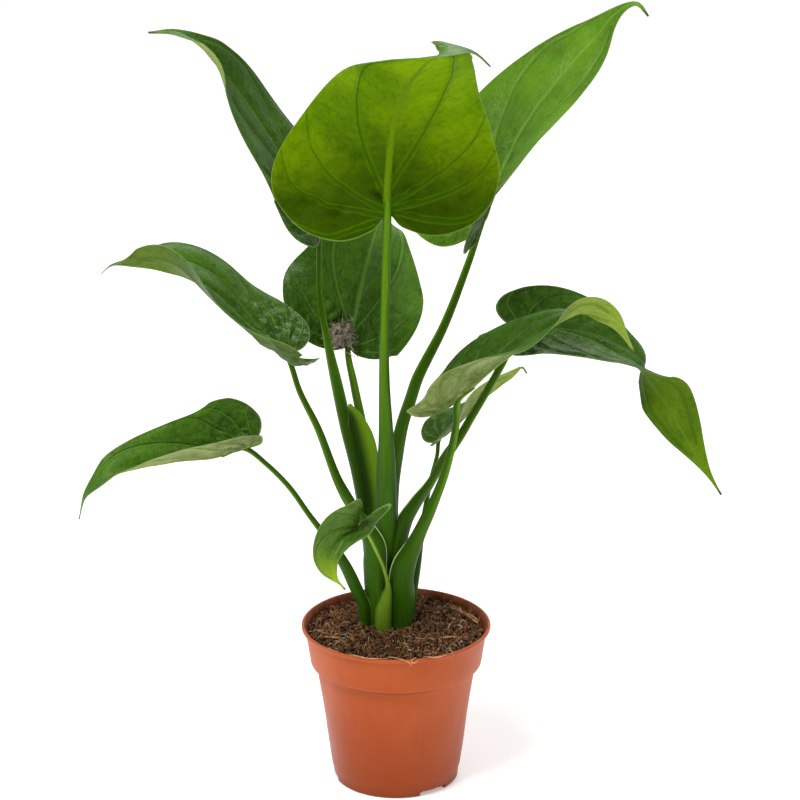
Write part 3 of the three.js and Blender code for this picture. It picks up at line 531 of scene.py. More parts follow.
def ring_order(loop: list[bmesh.types.BMEdge]) -> list[bmesh.types.BMVert]:
    """A closed loop's vertices in order round it.

    Args:
        loop: The loop's edges, in any order.

    Returns:
        Its vertices, from one of the first edge on.
    """
    first = loop[0].verts[0]
    order, last, here = [first], None, first
    while True:
        step = next(e for e in here.link_edges if e is not last and e in loop)
        here, last = step.other_vert(here), step
        if here is first:
            return order
        order.append(here)


# Materials

Socket = bpy.types.NodeSocket
WHITE = (1.0, 1.0, 1.0)


@dataclass(frozen=True)
class Grain:
    """A noise pattern, with its clouds to a metre or to a unit of what it reads, and its finer layers."""

    scale: float
    layers: float = 2.0
    strength: float = 0.5
    twist: float = 0.0
    stretch: Point | None = None


@dataclass(frozen=True)
class Step:
    """A smooth step: where it starts and ends, and its results there."""

    low: float
    high: float
    start: float = 0.0
    end: float = 1.0


class Sketch:
    """A material's node tree while it is drawn up, with its colour and its height so far."""

    def __init__(self, name: str, base: Colour, roughness: float, sheen: float = 0.5,
                 tint: Colour = WHITE) -> None:
        """Starts a material.

        Args:
            name: The material's name.
            base: Its colour before any pattern.
            roughness: The shader's roughness, until a pattern takes it over.
            sheen: The shader's specular level.
            tint: The colour of its reflections.
        """
        self.material = bpy.data.materials.new(name)
        self.material.use_nodes = True
        self.nodes = self.material.node_tree.nodes
        self.links = self.material.node_tree.links
        self.shader = self.nodes["Principled BSDF"]
        self.shader.inputs["Roughness"].default_value = roughness
        self.shader.inputs["Specular IOR Level"].default_value = sheen
        self.shader.inputs["Specular Tint"].default_value = (*tint, 1.0)
        self.colour: Socket | Colour = base
        self.height: Socket | None = None

    def node(self, kind: str, inputs: dict | None = None, **settings: object) -> bpy.types.Node:
        """Adds a node.

        Args:
            kind: The node's type name.
            inputs: Values or sockets for its inputs, by name or number.
            settings: The node's own properties.

        Returns:
            The new node.
        """
        made = self.nodes.new(kind)
        for key, value in settings.items():
            setattr(made, key, value)
        for key, value in (inputs or {}).items():
            if isinstance(value, Socket):
                self.links.new(value, made.inputs[key])
            else:
                made.inputs[key].default_value = value
        return made

    def math(self, operation: str, *values: object) -> Socket:
        """One sum on numbers or sockets."""
        return self.node("ShaderNodeMath", dict(enumerate(values)), operation=operation).outputs[0]

    def apart(self, first: Socket, second: Socket | float) -> Socket:
        """How far two numbers are apart."""
        return self.math("ABSOLUTE", self.math("SUBTRACT", first, second))

    def attribute(self, name: str, output: str = "Fac") -> Socket:
        """A value kept on the mesh."""
        return self.node("ShaderNodeAttribute", attribute_name=name).outputs[output]

    def leaf_map(self) -> Socket:
        """The point's place on a leaf laid flat."""
        return self.node("ShaderNodeUVMap", uv_map="leaf").outputs[0]

    def place(self) -> Socket:
        """The point's own coordinates on the piece, in metres."""
        return self.node("ShaderNodeTexCoord").outputs["Object"]

    def parts(self, vector: Socket) -> bpy.types.NodeOutputs:
        """A vector's three numbers."""
        return self.node("ShaderNodeSeparateXYZ", {0: vector}).outputs

    def noise(self, grain: Grain, vector: Socket | None = None) -> Socket:
        """Cloudy noise from 0 to 1.

        Args:
            grain: The pattern.
            vector: The coordinates that it reads, or none for the point's own.

        Returns:
            The noise's factor.
        """
        vector = vector or self.place()
        if grain.stretch:
            vector = self.node("ShaderNodeMapping", {"Vector": vector, "Scale": grain.stretch}).outputs[0]
        inputs = {"Vector": vector, "Scale": grain.scale, "Detail": grain.layers,
                  "Roughness": grain.strength, "Distortion": grain.twist}
        return self.node("ShaderNodeTexNoise", inputs).outputs["Fac"]

    def cells(self, scale: float, feature: str = "F1") -> Socket:
        """A pattern of cells.

        Args:
            scale: Cells to a metre.
            feature: What is measured in a cell.

        Returns:
            The distance.
        """
        inputs = {"Vector": self.place(), "Scale": scale}
        return self.node("ShaderNodeTexVoronoi", inputs, feature=feature).outputs["Distance"]

    def fade(self, value: Socket, step: Step) -> Socket:
        """A value taken through a smooth step.

        Args:
            value: What is measured.
            step: The step.

        Returns:
            The stepped value.
        """
        inputs = {"Value": value, "From Min": step.low, "From Max": step.high,
                  "To Min": step.start, "To Max": step.end}
        return self.node("ShaderNodeMapRange", inputs, interpolation_type="SMOOTHSTEP").outputs[0]

    def mix(self, factor: Socket, first: Socket | Colour, second: Socket | Colour) -> Socket:
        """Mixes two colours.

        Args:
            factor: The second colour's share.
            first: A colour or a socket.
            second: A colour or a socket.

        Returns:
            The mixed colour.
        """
        made = self.node("ShaderNodeMix", {0: factor}, data_type="RGBA")
        for number, given in ((6, first), (7, second)):
            if isinstance(given, Socket):
                self.links.new(given, made.inputs[number])
            else:
                made.inputs[number].default_value = (*given, 1.0)
        return made.outputs[2]

    def cover(self, factor: Socket, colour: Socket | Colour) -> None:
        """Lays a colour over what is there, by its share from 0 to 1."""
        self.colour = self.mix(factor, self.colour, colour)

    def raise_by(self, value: Socket, metres: float) -> None:
        """Adds a pattern to the surface's height, with the metres that its step from 0 to 1 stands for."""
        part = self.math("MULTIPLY", value, metres)
        self.height = part if self.height is None else self.math("ADD", self.height, part)

    def finish(self, roughness: Socket | None = None, bump: float = 1.0) -> bpy.types.Material:
        """Joins the patterns to the shader.

        Args:
            roughness: The roughness pattern, or none to keep the plain one.
            bump: The strength of the height pattern.

        Returns:
            The finished material.
        """
        self.links.new(self.colour, self.shader.inputs["Base Color"])
        if roughness is not None:
            self.links.new(roughness, self.shader.inputs["Roughness"])
        if self.height is not None:
            raised = self.node("ShaderNodeBump", {"Height": self.height, "Distance": 1.0, "Strength": bump})
            self.links.new(raised.outputs[0], self.shader.inputs["Normal"])
        return self.material


def shaded(colour: Colour, share: float) -> Colour:
    """A colour darkened to a share of itself."""
    return tuple(share * value for value in colour)


# Veins and the finishes of a blade


@dataclass(frozen=True)
class Vein:
    """A side vein, drawn on a leaf laid flat.

    reads_along is true where the knots are shares of the length and the values shares of the half width,
    and false where it is the other way round.
    """

    reads_along: bool
    knots: tuple[float, ...]
    values: tuple[float, ...]
    weight: float = 1.0


VEINS = (
    Vein(True, (0.08, 0.2, 0.3, 0.4, 0.5, 0.6, 0.7, 0.82), (0, 0.15, 0.26, 0.34, 0.38, 0.37, 0.28, 0.1)),
    Vein(False, (0, 0.3, 0.6, 0.76, 0.86), (0.02, 0.085, 0.18, 0.27, 0.4)),
    Vein(False, (0, 0.3, 0.6, 0.82, 0.95), (0.0, 0.02, 0.05, 0.1, 0.19), 0.8),
    Vein(False, (0, 0.3, 0.6, 0.85), (-0.01, -0.035, -0.055, -0.035), 0.7),
    Vein(False, (0, 0.15, 0.3, 0.45), (-0.01, -0.06, -0.1, -0.13), 0.6),
)


class LeafSide(Enum):
    """The two faces of a blade."""

    UPPER = "upper"
    UNDER = "under"


@dataclass(frozen=True)
class BladeFinish:
    """The colours and gloss of one face of a blade."""

    name: str
    side: LeafSide
    deep: Colour
    bright: Colour
    vein: Colour
    rib: Colour
    margin: Colour
    gloss: float
    vein_share: float = 0.5
    # how much painted shade darkens the blade round its stalk
    shade: float = 0.6
    sheen: float = 0.3
    pucker: float = 0.013
    mottle: float = 0.45
    ripe: float = 0.0
    streak: float = 0.15
    tint: Colour = (0.85, 1.0, 0.55)

    # the leaf map: shares of the length from this one up are spread over the map's whole width
    MAP_START = -0.25
    MAP_SPAN = 1.3
    # veins wander a little, and those of the right half are set further along
    WANDER = Grain(22.0, 1.0)
    WANDER_REACH = 0.05
    RIGHT_AHEAD = 0.02
    # a share of the length is about 2.6 half widths, and a vein that leans is narrower across
    LENGTH_IN_HALF_WIDTHS = 2.6
    LEANING_ALONG = 0.9
    LEANING_ACROSS = 0.85
    VEIN_START = 0.01
    VEIN_END = 0.03
    MIDDLE = 0.5

    # the surface's patterns, and where in its range each of them shows
    CLOUDS = Grain(28.0, 3.0)
    CLOUDS_SHOW = Step(0.3, 0.7)
    FINE = Grain(420.0, 3.0, 0.6)
    FINE_SHOW = Step(0.35, 0.75, 0.0, 0.3)
    SIDEWAYS = 0.22
    # painted shade round the stalk fades out along the blade; the darkest colour is a share of deep
    NEAR_STALK = Step(0.0, 0.6, 1.0, 0.0)
    DARK_SHARE = 0.3
    MOTTLE = Grain(210.0, 7.0, 0.72)
    MOTTLE_ENDS = (0.36, 0.54)
    PUCKERS = Grain(75.0, 3.0)
    SHADED_VALLEYS = Step(0.0, 0.05, 0.5, 0.0)
    BLOTCHES = Grain(60.0, 5.0, 0.6)
    BLOTCHES_SHOW = Step(0.5, 0.66, 0.0, 0.6)
    STREAKS = Grain(1.0, 5.0, 0.65, 0.6, (9.0, 60.0, 1.0))
    STREAK_ENDS = (0.5, 0.68)
    RIPE = (0.3, 0.45, 0.004)
    RIPE_ENDS = (0.45, 0.9)
    DRY = (0.05, 0.035, 0.012)
    DRY_TIP = Step(0.96, 1.0)
    MARGIN_SHOWS = Step(0.2, 0.6, 0.5, 0.0)

    # the veins and the net between them
    GLOW = Step(0.0, 0.07, 0.2, 0.0)
    BESIDE_AT = 0.026
    BESIDE = Step(0.0, 0.016, 0.4, 0.0)
    VEIN_ENDS = (0.003, 0.012)
    NET = 260.0
    NET_SHOWS = Step(0.0, 0.08, 0.16, 0.0)
    RIB_WIDTH = 0.042
    RIB_TAPER = -0.03
    RIB_MORE = 0.3
    RIB_ENDS = (0.4, 1.0)

    # the height pattern, in metres
    VEIN_GROOVE = 0.0007
    GROOVE = Step(0.0, 0.04, 1.0, 0.0)
    NET_GROOVE = 0.00011
    NET_RISES = Step(0.0, 0.12)
    SWELLS = Grain(90.0)
    SWELLS_RISE = 0.0011
    MOTTLE_RISE = 0.0005
    FINE_RISE = 0.00012
    BUMP = 0.6
    GLOSS_CLOUDS = Grain(60.0, 3.0)
    GLOSS_ENDS = (0.2, 0.8)
    GLOSS_LESS = 0.07
    GLOSS_MORE = 0.1

    def vein_distance(self, sketch: Sketch) -> tuple[Socket, Socket]:
        """Measures how far a point lies from the nearest vein.

        Args:
            sketch: The material's tree.

        Returns:
            The distance from the side veins and from the midrib, in half widths of the leaf.
        """
        parts = sketch.parts(sketch.leaf_map())
        cloud = sketch.math("SUBTRACT", sketch.noise(self.WANDER), self.MIDDLE)
        wander = sketch.math("MULTIPLY", cloud, self.WANDER_REACH)
        right = sketch.math("MULTIPLY", sketch.math("GREATER_THAN", parts[1], self.MIDDLE), self.RIGHT_AHEAD)
        along = sketch.math("ADD", sketch.math("ADD", parts[0], wander), right)
        from_rib = sketch.math("ABSOLUTE", sketch.math("MULTIPLY_ADD", parts[1], 2.0, -1.0))
        across = sketch.math("ADD", from_rib, wander)
        nearest: Socket | None = None
        for vein in VEINS:
            read, other = (along, across) if vein.reads_along else (across, along)
            line = sketch.node("ShaderNodeFloatCurve", {"Value": read})
            points = [self.on_map(*pair, vein.reads_along) for pair in zip(vein.knots, vein.values)]
            curve = line.mapping.curves[0]
            curve.points[0].location = points[0]
            curve.points[-1].location = points[-1]
            for point in points[1:-1]:
                curve.points.new(*point)
            line.mapping.update()
            scale = self.LEANING_ALONG
            if not vein.reads_along:
                scale = self.LENGTH_IN_HALF_WIDTHS * self.MAP_SPAN * self.LEANING_ACROSS
            off = sketch.math("MULTIPLY", sketch.apart(other, line.outputs[0]), scale / vein.weight)
            first, last = points[0][0], points[-1][0]
            ends = sketch.math("ADD", sketch.fade(read, Step(first - self.VEIN_START, first, 1.0, 0.0)),
                               sketch.fade(read, Step(last, last + self.VEIN_END)))
            off = sketch.math("ADD", off, ends)
            nearest = off if nearest is None else sketch.math("MINIMUM", nearest, off)
        return nearest, from_rib

    def on_map(self, knot: float, value: float, reads_along: bool) -> tuple[float, float]:
        """A vein's knot and value as they are read from the leaf map.

        Args:
            knot: A place on the axis that the vein reads.
            value: Its place on the other axis.
            reads_along: Whether it reads along the leaf.

        Returns:
            Both, on the map's axes.
        """
        if reads_along:
            return (knot - self.MAP_START) / self.MAP_SPAN, value
        return knot, (value - self.MAP_START) / self.MAP_SPAN

    def material(self) -> bpy.types.Material:
        """Draws up this face's material.

        Returns:
            The material.
        """
        sketch = Sketch(f"blade_{self.side.value}_{self.name}", self.deep, self.gloss, self.sheen, self.tint)
        side_vein, rib = self.vein_distance(sketch)
        along = sketch.attribute("along")
        dark = shaded(self.deep, self.DARK_SHARE)
        fine, mottle = sketch.noise(self.FINE), sketch.noise(self.MOTTLE)
        pucker = sketch.apart(sketch.noise(self.PUCKERS), self.MIDDLE)
        # painted shade darkens the blade round the place where its stalk meets it, where it is also puckered
        near_stalk = sketch.fade(sketch.math("MULTIPLY_ADD", rib, self.SIDEWAYS, along), self.NEAR_STALK)

        sketch.cover(sketch.fade(sketch.noise(self.CLOUDS), self.CLOUDS_SHOW), self.bright)
        sketch.cover(sketch.fade(fine, self.FINE_SHOW), self.bright)
        sketch.cover(sketch.math("MULTIPLY", near_stalk, self.shade), dark)
        sketch.cover(sketch.fade(mottle, Step(*self.MOTTLE_ENDS, self.mottle, 0.0)), dark)
        # painted shade in patches round the stalk
        blotch = sketch.fade(sketch.noise(self.BLOTCHES), self.BLOTCHES_SHOW)
        sketch.cover(sketch.math("MULTIPLY", blotch, near_stalk), dark)
        streaks = sketch.noise(self.STREAKS, sketch.leaf_map())
        sketch.cover(sketch.fade(streaks, Step(*self.STREAK_ENDS, 0.0, self.streak)), self.margin)
        # painted shade in the valleys of the puckers round the stalk
        sketch.cover(sketch.math("MULTIPLY", sketch.fade(pucker, self.SHADED_VALLEYS), near_stalk), dark)
        sketch.cover(sketch.fade(along, Step(*self.RIPE_ENDS, 0.0, self.ripe)), self.RIPE)
        net = self.draw_veins(sketch, side_vein, rib, along, dark)
        sketch.cover(sketch.fade(sketch.attribute("edge"), self.MARGIN_SHOWS), self.margin)
        sketch.cover(sketch.fade(along, self.DRY_TIP), self.DRY)

        up = -1.0 if self.side is LeafSide.UPPER else 1.0
        sketch.raise_by(sketch.fade(side_vein, self.GROOVE), up * self.VEIN_GROOVE)
        sketch.raise_by(sketch.fade(net, self.NET_RISES), -up * self.NET_GROOVE)
        sketch.raise_by(sketch.noise(self.SWELLS), self.SWELLS_RISE)
        sketch.raise_by(sketch.math("MULTIPLY", near_stalk, pucker), self.pucker)
        sketch.raise_by(mottle, self.MOTTLE_RISE)
        sketch.raise_by(fine, self.FINE_RISE)
        gloss = Step(*self.GLOSS_ENDS, self.gloss - self.GLOSS_LESS, self.gloss + self.GLOSS_MORE)
        return sketch.finish(sketch.fade(sketch.noise(self.GLOSS_CLOUDS), gloss), self.BUMP)

    def draw_veins(self, sketch: Sketch, side_vein: Socket, rib: Socket, along: Socket,
                   dark: Colour) -> Socket:
        """Lays the side veins, the fine net between them and the midrib over the colour.

        Args:
            sketch: The material's tree.
            side_vein: The distance from the nearest side vein, in half widths.
            rib: The distance from the midrib, in half widths.
            along: The share of the length.
            dark: The darkest colour of the face.

        Returns:
            The distance from the net's nearest line.
        """
        sketch.cover(sketch.fade(side_vein, self.GLOW), self.vein)
        beside = sketch.fade(sketch.apart(side_vein, self.BESIDE_AT), self.BESIDE)
        sketch.cover(beside, dark if self.side is LeafSide.UPPER else self.deep)
        sketch.cover(sketch.fade(side_vein, Step(*self.VEIN_ENDS, self.vein_share, 0.0)), self.vein)
        net = sketch.cells(self.NET, "DISTANCE_TO_EDGE")
        sketch.cover(sketch.fade(net, self.NET_SHOWS), self.vein)
        width = sketch.math("MULTIPLY_ADD", along, self.RIB_TAPER, self.RIB_WIDTH)
        rib_share = Step(*self.RIB_ENDS, min(1.0, self.vein_share + self.RIB_MORE), 0.0)
        sketch.cover(sketch.fade(sketch.math("DIVIDE", rib, width), rib_share), self.rib)
        return net


# Blades


@dataclass
class Sheet:
    """A blade's middle surface, each value a grid of rows and lines.

    u is the place along the outline, along the share of the length, across the distance from the midrib,
    edge that from the margin, and full the leaf's half width on that side. sign is -1 on the left half.
    """

    point: np.ndarray
    normal: np.ndarray
    u: np.ndarray
    along: np.ndarray
    across: np.ndarray
    edge: np.ndarray
    full: np.ndarray
    sign: np.ndarray


@dataclass
class Blade:
    """A leaf's blade: a waved sheet, thin at its margin, with a midrib raised underneath."""

    leaf: Leaf
    upper: BladeFinish
    under: BladeFinish
    thickness: float = 0.8
    edge_thickness: float = 0.36
    edge_reach: float = 6.0
    midrib_depth: float = 1.9
    midrib_width: float = 1.9
    midrib_start: float = 0.06
    midrib_tip_share: float = 0.35
    midrib_taper: float = 0.8
    midrib_above: float = 0.25
    least_width_share: float = 0.45
    least_depth_share: float = 0.5
    least_half_width: float = 0.7
    folded_half_width: float = 12.0
    plain_half_width: float = 60.0
    midrib_share: float = 1.35
    vein_arch: float = 1.3
    lobe_reach: float = 0.2
    wave_ahead: float = 0.37
    widest: float = 0.38
    tip_sharpness: float = 12.0
    steps: tuple[float, ...] = (0.1, 0.22, 0.36, 0.52, 0.68, 0.82, 1.0)
    rows_between: int = 14
    lines_across: int = 40
    lines_bunched: float = 0.6
    stalk_reach: float = 0.8
    stalk_clearance: float = 0.2
    vein_swell: float = 6.0
    edge_swell: float = 7.0
    crease_free: float = 3.0
    grain_size: float = 14.0
    grain_height: float = 0.9
    crease_size: float = 9.0
    crease_height: float = 6.0
    crease_reach: float = 0.55
    crease_sideways: float = 0.25
    seed_step: float = 7.3

    def rows(self) -> np.ndarray:
        """The places along the outline where the mesh has rows.

        Returns:
            Shares of the outline, from the notch to the tip.
        """
        rows = [0.0]
        start = 0.0
        for end in self.steps:
            rows += [start + (end - start) * (i + 1) / self.rows_between for i in range(self.rows_between)]
            start = end
        return np.array(rows)

    def lines(self) -> np.ndarray:
        """The places across where the mesh has lines.

        Returns:
            Shares of the half width, from -1 to 1, closer together at the midrib and the edges.
        """
        even = np.linspace(0, 1, self.lines_across + 1)
        bunched = 0.5 - 0.5 * np.cos(np.pi * even)
        half = self.lines_bunched * bunched + (1 - self.lines_bunched) * even
        return np.concatenate([-half[:0:-1], half])

    def chain(self) -> Chain:
        """The midrib's line."""
        return Chain([rib.at for rib in self.leaf.midrib])

    def station_faces(self, chain: Chain) -> np.ndarray:
        """The way the upper side faces at each station of the midrib.

        Args:
            chain: The midrib's line.

        Returns:
            A direction to each station.
        """
        front = np.array((0.0, -1.0, 0.0))
        faces = []
        for i, rib in enumerate(self.leaf.midrib):
            if len(rib.look) == len(rib.at):
                faces.append(unit(np.array(rib.look)))
                continue
            before = chain.points[max(i - 1, 0)]
            along = unit(chain.points[min(i + 1, len(chain.points) - 1)] - before)
            face = unit(front - along * np.dot(front, along))
            turn = Matrix.Rotation(math.radians(rib.look[0]), 3, Vector(along))
            faces.append(np.array(turn @ Vector(face)))
        return np.array(faces)

    def flat(self, chain: Chain, u: np.ndarray, t: np.ndarray) -> tuple[np.ndarray, np.ndarray, np.ndarray]:
        """The blade laid flat.

        Args:
            chain: The midrib.
            u: Places along the outline, a column.
            t: Places across, a row.

        Returns:
            The distance along the midrib, the distance from it, and the half width there.
        """
        w = np.abs(t)
        hand = (t >= 0).astype(int)
        share = smooth_through(OUTLINE[:, 0], OUTLINE[:, 1:], u[:, 0])
        edge = np.repeat(share[:, :1], t.shape[1], axis=1)
        edge = np.where(edge < 0, edge * np.array(self.leaf.lobe)[hand], edge)
        rib = u**self.midrib_share
        a = chain.length * (rib + (edge - rib) * w**self.vein_arch)
        fuller = np.where(u > self.widest, 1 - u**self.tip_sharpness, 0.0)
        fuller = fuller * np.array(self.leaf.fullness)[hand]
        half = np.array(self.leaf.half_width)[hand] * share[:, 1:] ** (1 - fuller)
        half = np.maximum(half, self.least_half_width)
        return a, half * w, half

    def middle(self) -> Sheet:
        """Bends the flat blade along its midrib, folds, curls and waves it.

        Returns:
            The surface's grids.
        """
        leaf, chain = self.leaf, self.chain()
        u = self.rows()[:, None]
        t = self.lines()[None, :]
        w = np.abs(t)
        hand = np.broadcast_to((t >= 0).astype(int), (u.shape[0], t.shape[1]))
        sign = np.where(hand == 1, 1.0, -1.0)
        a, b, half = self.flat(chain, u, t)
        full = np.array(leaf.half_width)[hand]
        place = np.maximum(a, 0)
        at, along = chain.at(place), chain.along(place)
        face = smooth_through(chain.knots, self.station_faces(chain), place)
        up = unit(face - along * dot(face, along))
        side = np.cross(along, up)

        def by_hand(name: str) -> np.ndarray:
            """An angle that differs from half to half, read along the midrib.

            Args:
                name: Which pair of angles is read.

            Returns:
                The angle at each point, in radians.
            """
            pairs = [getattr(rib, name) for rib in leaf.midrib]
            left, right = (chain.read([pair[i] for pair in pairs], place) for i in (0, 1))
            return np.radians(np.where(hand == 0, left, right))

        fold = by_hand("fold") * np.minimum(half / self.folded_half_width, 1)
        turn = by_hand("curl") * b / full
        chord = b * np.sinc(turn / FULL_TURN)
        # the lobes behind the notch bend away from the midrib's line
        back = np.maximum(-a, 0)
        back_turn = math.radians(leaf.lobe_curl) * back / (self.lobe_reach * chain.length)
        back_chord = back * np.sinc(back_turn / FULL_TURN)
        turned_up = up * np.cos(back_turn)[..., None] + along * np.sin(back_turn)[..., None]
        point = (at - along * (back_chord * np.cos(back_turn / 2))[..., None]
                 + up * (back_chord * np.sin(back_turn / 2))[..., None])
        height, count, phase = leaf.wave
        wave_turn = FULL_TURN * (count * u + phase + self.wave_ahead * hand)
        wave = height * w**2 * np.sin(wave_turn) * (half / full)
        edge = (1 - w) * half
        lift = wave + self.relief(a / chain.length, chain.length, a, b, edge, full, sign)
        point = (point + side * (sign * chord * np.cos(fold + turn / 2))[..., None]
                 + turned_up * (chord * np.sin(fold + turn / 2) + lift)[..., None])
        normal = unit(np.cross(np.gradient(point, axis=1), np.gradient(point, axis=0)))
        normal *= np.sign(dot(normal, turned_up))
        return Sheet(point, normal, np.broadcast_to(u, a.shape), a / chain.length, b, edge, full, sign)

    def under_rib(self) -> Point:
        """A point under the midrib a little way from the notch, where the stalk runs out.

        Returns:
            The point, in millimetres.
        """
        chain = self.chain()
        place = np.array([self.stalk_reach * chain.knots[1]])
        at, along = chain.at(place)[0], chain.along(place)[0]
        face = smooth_through(chain.knots, self.station_faces(chain), place)[0]
        up = unit(face - along * np.dot(face, along))
        return tuple(at - up * (self.thickness + self.stalk_clearance))

    def relief(self, along: np.ndarray, length: float, a: np.ndarray, b: np.ndarray, edge: np.ndarray,
               full: np.ndarray, sign: np.ndarray) -> np.ndarray:
        """How far the blade swells between its veins and creases near its stalk, in millimetres.

        Args:
            along: Shares of the midrib's length.
            length: The midrib's length.
            a: Distances along the midrib.
            b: Distances from it.
            edge: Distances from the margin.
            full: The leaf's half width on each side.
            sign: -1 on the left half and 1 on the right.

        Returns:
            The lift of the middle surface.
        """
        across = b / full
        nearest = b * 1.0
        for vein in VEINS:
            knots = np.array(vein.knots)
            read, other = (along, across) if vein.reads_along else (across, along)
            line = smooth_number(knots, np.array(vein.values), np.clip(read, knots[0], knots[-1]))
            scale = full if vein.reads_along else length
            outside = np.maximum(knots[0] - read, 0) + np.maximum(read - knots[-1], 0)
            nearest = np.minimum(nearest, np.abs(other - line) * scale + outside * scale)
        size = full / self.plain_half_width
        swell = rounded(nearest, self.vein_swell * size) * rounded(edge, self.edge_swell * size)
        seed = self.seed_step * len(self.leaf.name)
        flat_edge = np.minimum(edge / self.edge_reach, 1)
        grain = clouds(a, b * sign, self.grain_size, seed) * flat_edge
        creases = np.abs(clouds(a, b * sign, self.crease_size, seed))
        near = 1 - step_between(0.0, self.crease_reach, along + self.crease_sideways * across)
        creases = (creases - creases.mean()) * flat_edge * near * rounded(nearest, self.crease_free * size)
        return (self.leaf.puff * (1 - np.clip(along, 0, 1) ** 2) * swell
                + size * (self.grain_height * grain + self.crease_height * creases))

    def build(self) -> bpy.types.Object:
        """Builds the blade as one closed sheet and dresses it.

        Returns:
            The blade.
        """
        sheet = self.middle()
        thin = step_between(0, self.edge_reach, sheet.edge)
        half = 0.5 * (self.edge_thickness + (self.thickness - self.edge_thickness) * thin)
        share = 1 - np.clip(sheet.u, 0, 1)
        size = sheet.full / self.plain_half_width
        wide = self.midrib_width * (self.midrib_tip_share + (1 - self.midrib_tip_share) * share)
        wide *= np.clip(size, self.least_width_share, 1)
        ridge = np.exp(-((sheet.across / wide) ** 2)) * step_between(0.0, self.midrib_start, sheet.u)
        deep = self.midrib_depth * np.clip(size, self.least_depth_share, 1) * share**self.midrib_taper
        top = sheet.point + sheet.normal * (half - self.midrib_above * ridge * share)[..., None]
        bottom = sheet.point - sheet.normal * (half + deep * ridge)[..., None]
        made = closed_sheet(top, bottom)

        flat = np.stack([(sheet.along - BladeFinish.MAP_START) / BladeFinish.MAP_SPAN,
                         0.5 + 0.5 * sheet.sign * sheet.across / sheet.full], axis=-1).reshape(-1, 2)
        values = {"edge": sheet.edge.ravel(), "along": np.clip(sheet.along, 0, 1).ravel()}
        finishes = [finish.material() for finish in (self.upper, self.under)]
        piece = finished_piece(f"leaf_{self.leaf.name}", made, finishes)
        add_leaf_map(piece, np.concatenate([flat, flat]))
        for name, numbers in values.items():
            add_values(piece, name, np.concatenate([numbers, numbers]))
        place_on_frame(piece, "blade", f"blade_{self.leaf.name}")
        return piece


def rounded(distance: np.ndarray, reach: np.ndarray) -> np.ndarray:
    """Rises from 0 at no distance to 1 well past the reach."""
    return 1 - np.exp(-((distance / reach) ** 2))


def clouds(x: np.ndarray, y: np.ndarray, size: float, seed: float) -> np.ndarray:
    """Noise in clouds of a size, read at the points of a grid.

    Args:
        x: The points' places along.
        y: Their places across.
        size: The clouds' size.
        seed: Which noise is read.

    Returns:
        The noise, in the shape of the grid.
    """
    drawn = [noise.noise(Vector((i / size, j / size, seed))) for i, j in zip(x.ravel(), y.ravel())]
    return np.array(drawn).reshape(x.shape)


def closed_sheet(top: np.ndarray, bottom: np.ndarray) -> bmesh.types.BMesh:
    """Joins two grids of points into a closed sheet, whose faces carry 0 on top and 1 underneath.

    Args:
        top: The upper grid of points, in millimetres.
        bottom: The lower one.

    Returns:
        The sheet, in metres.
    """
    rows, lines = top.shape[:2]
    made = bmesh.new()
    bmesh.ops.create_grid(made, x_segments=lines - 1, y_segments=rows - 1, size=1.0)
    upper_faces = list(made.faces)
    twin = bmesh.ops.duplicate(made, geom=[*made.verts, *made.edges, *upper_faces])
    under_faces = [g for g in twin["geom"] if isinstance(g, bmesh.types.BMFace)]
    borders = [e for e in made.edges if e.is_boundary]
    for number, face in enumerate((*upper_faces, *under_faces)):
        face.material_index = number // len(upper_faces)
    made.verts.ensure_lookup_table()
    for vertex, point in zip(made.verts, np.concatenate([top.reshape(-1, 3), bottom.reshape(-1, 3)])):
        vertex.co = point * MM
    bmesh.ops.bridge_loops(made, edges=borders)
    bmesh.ops.recalc_face_normals(made, faces=made.faces)
    return made


# Stalks


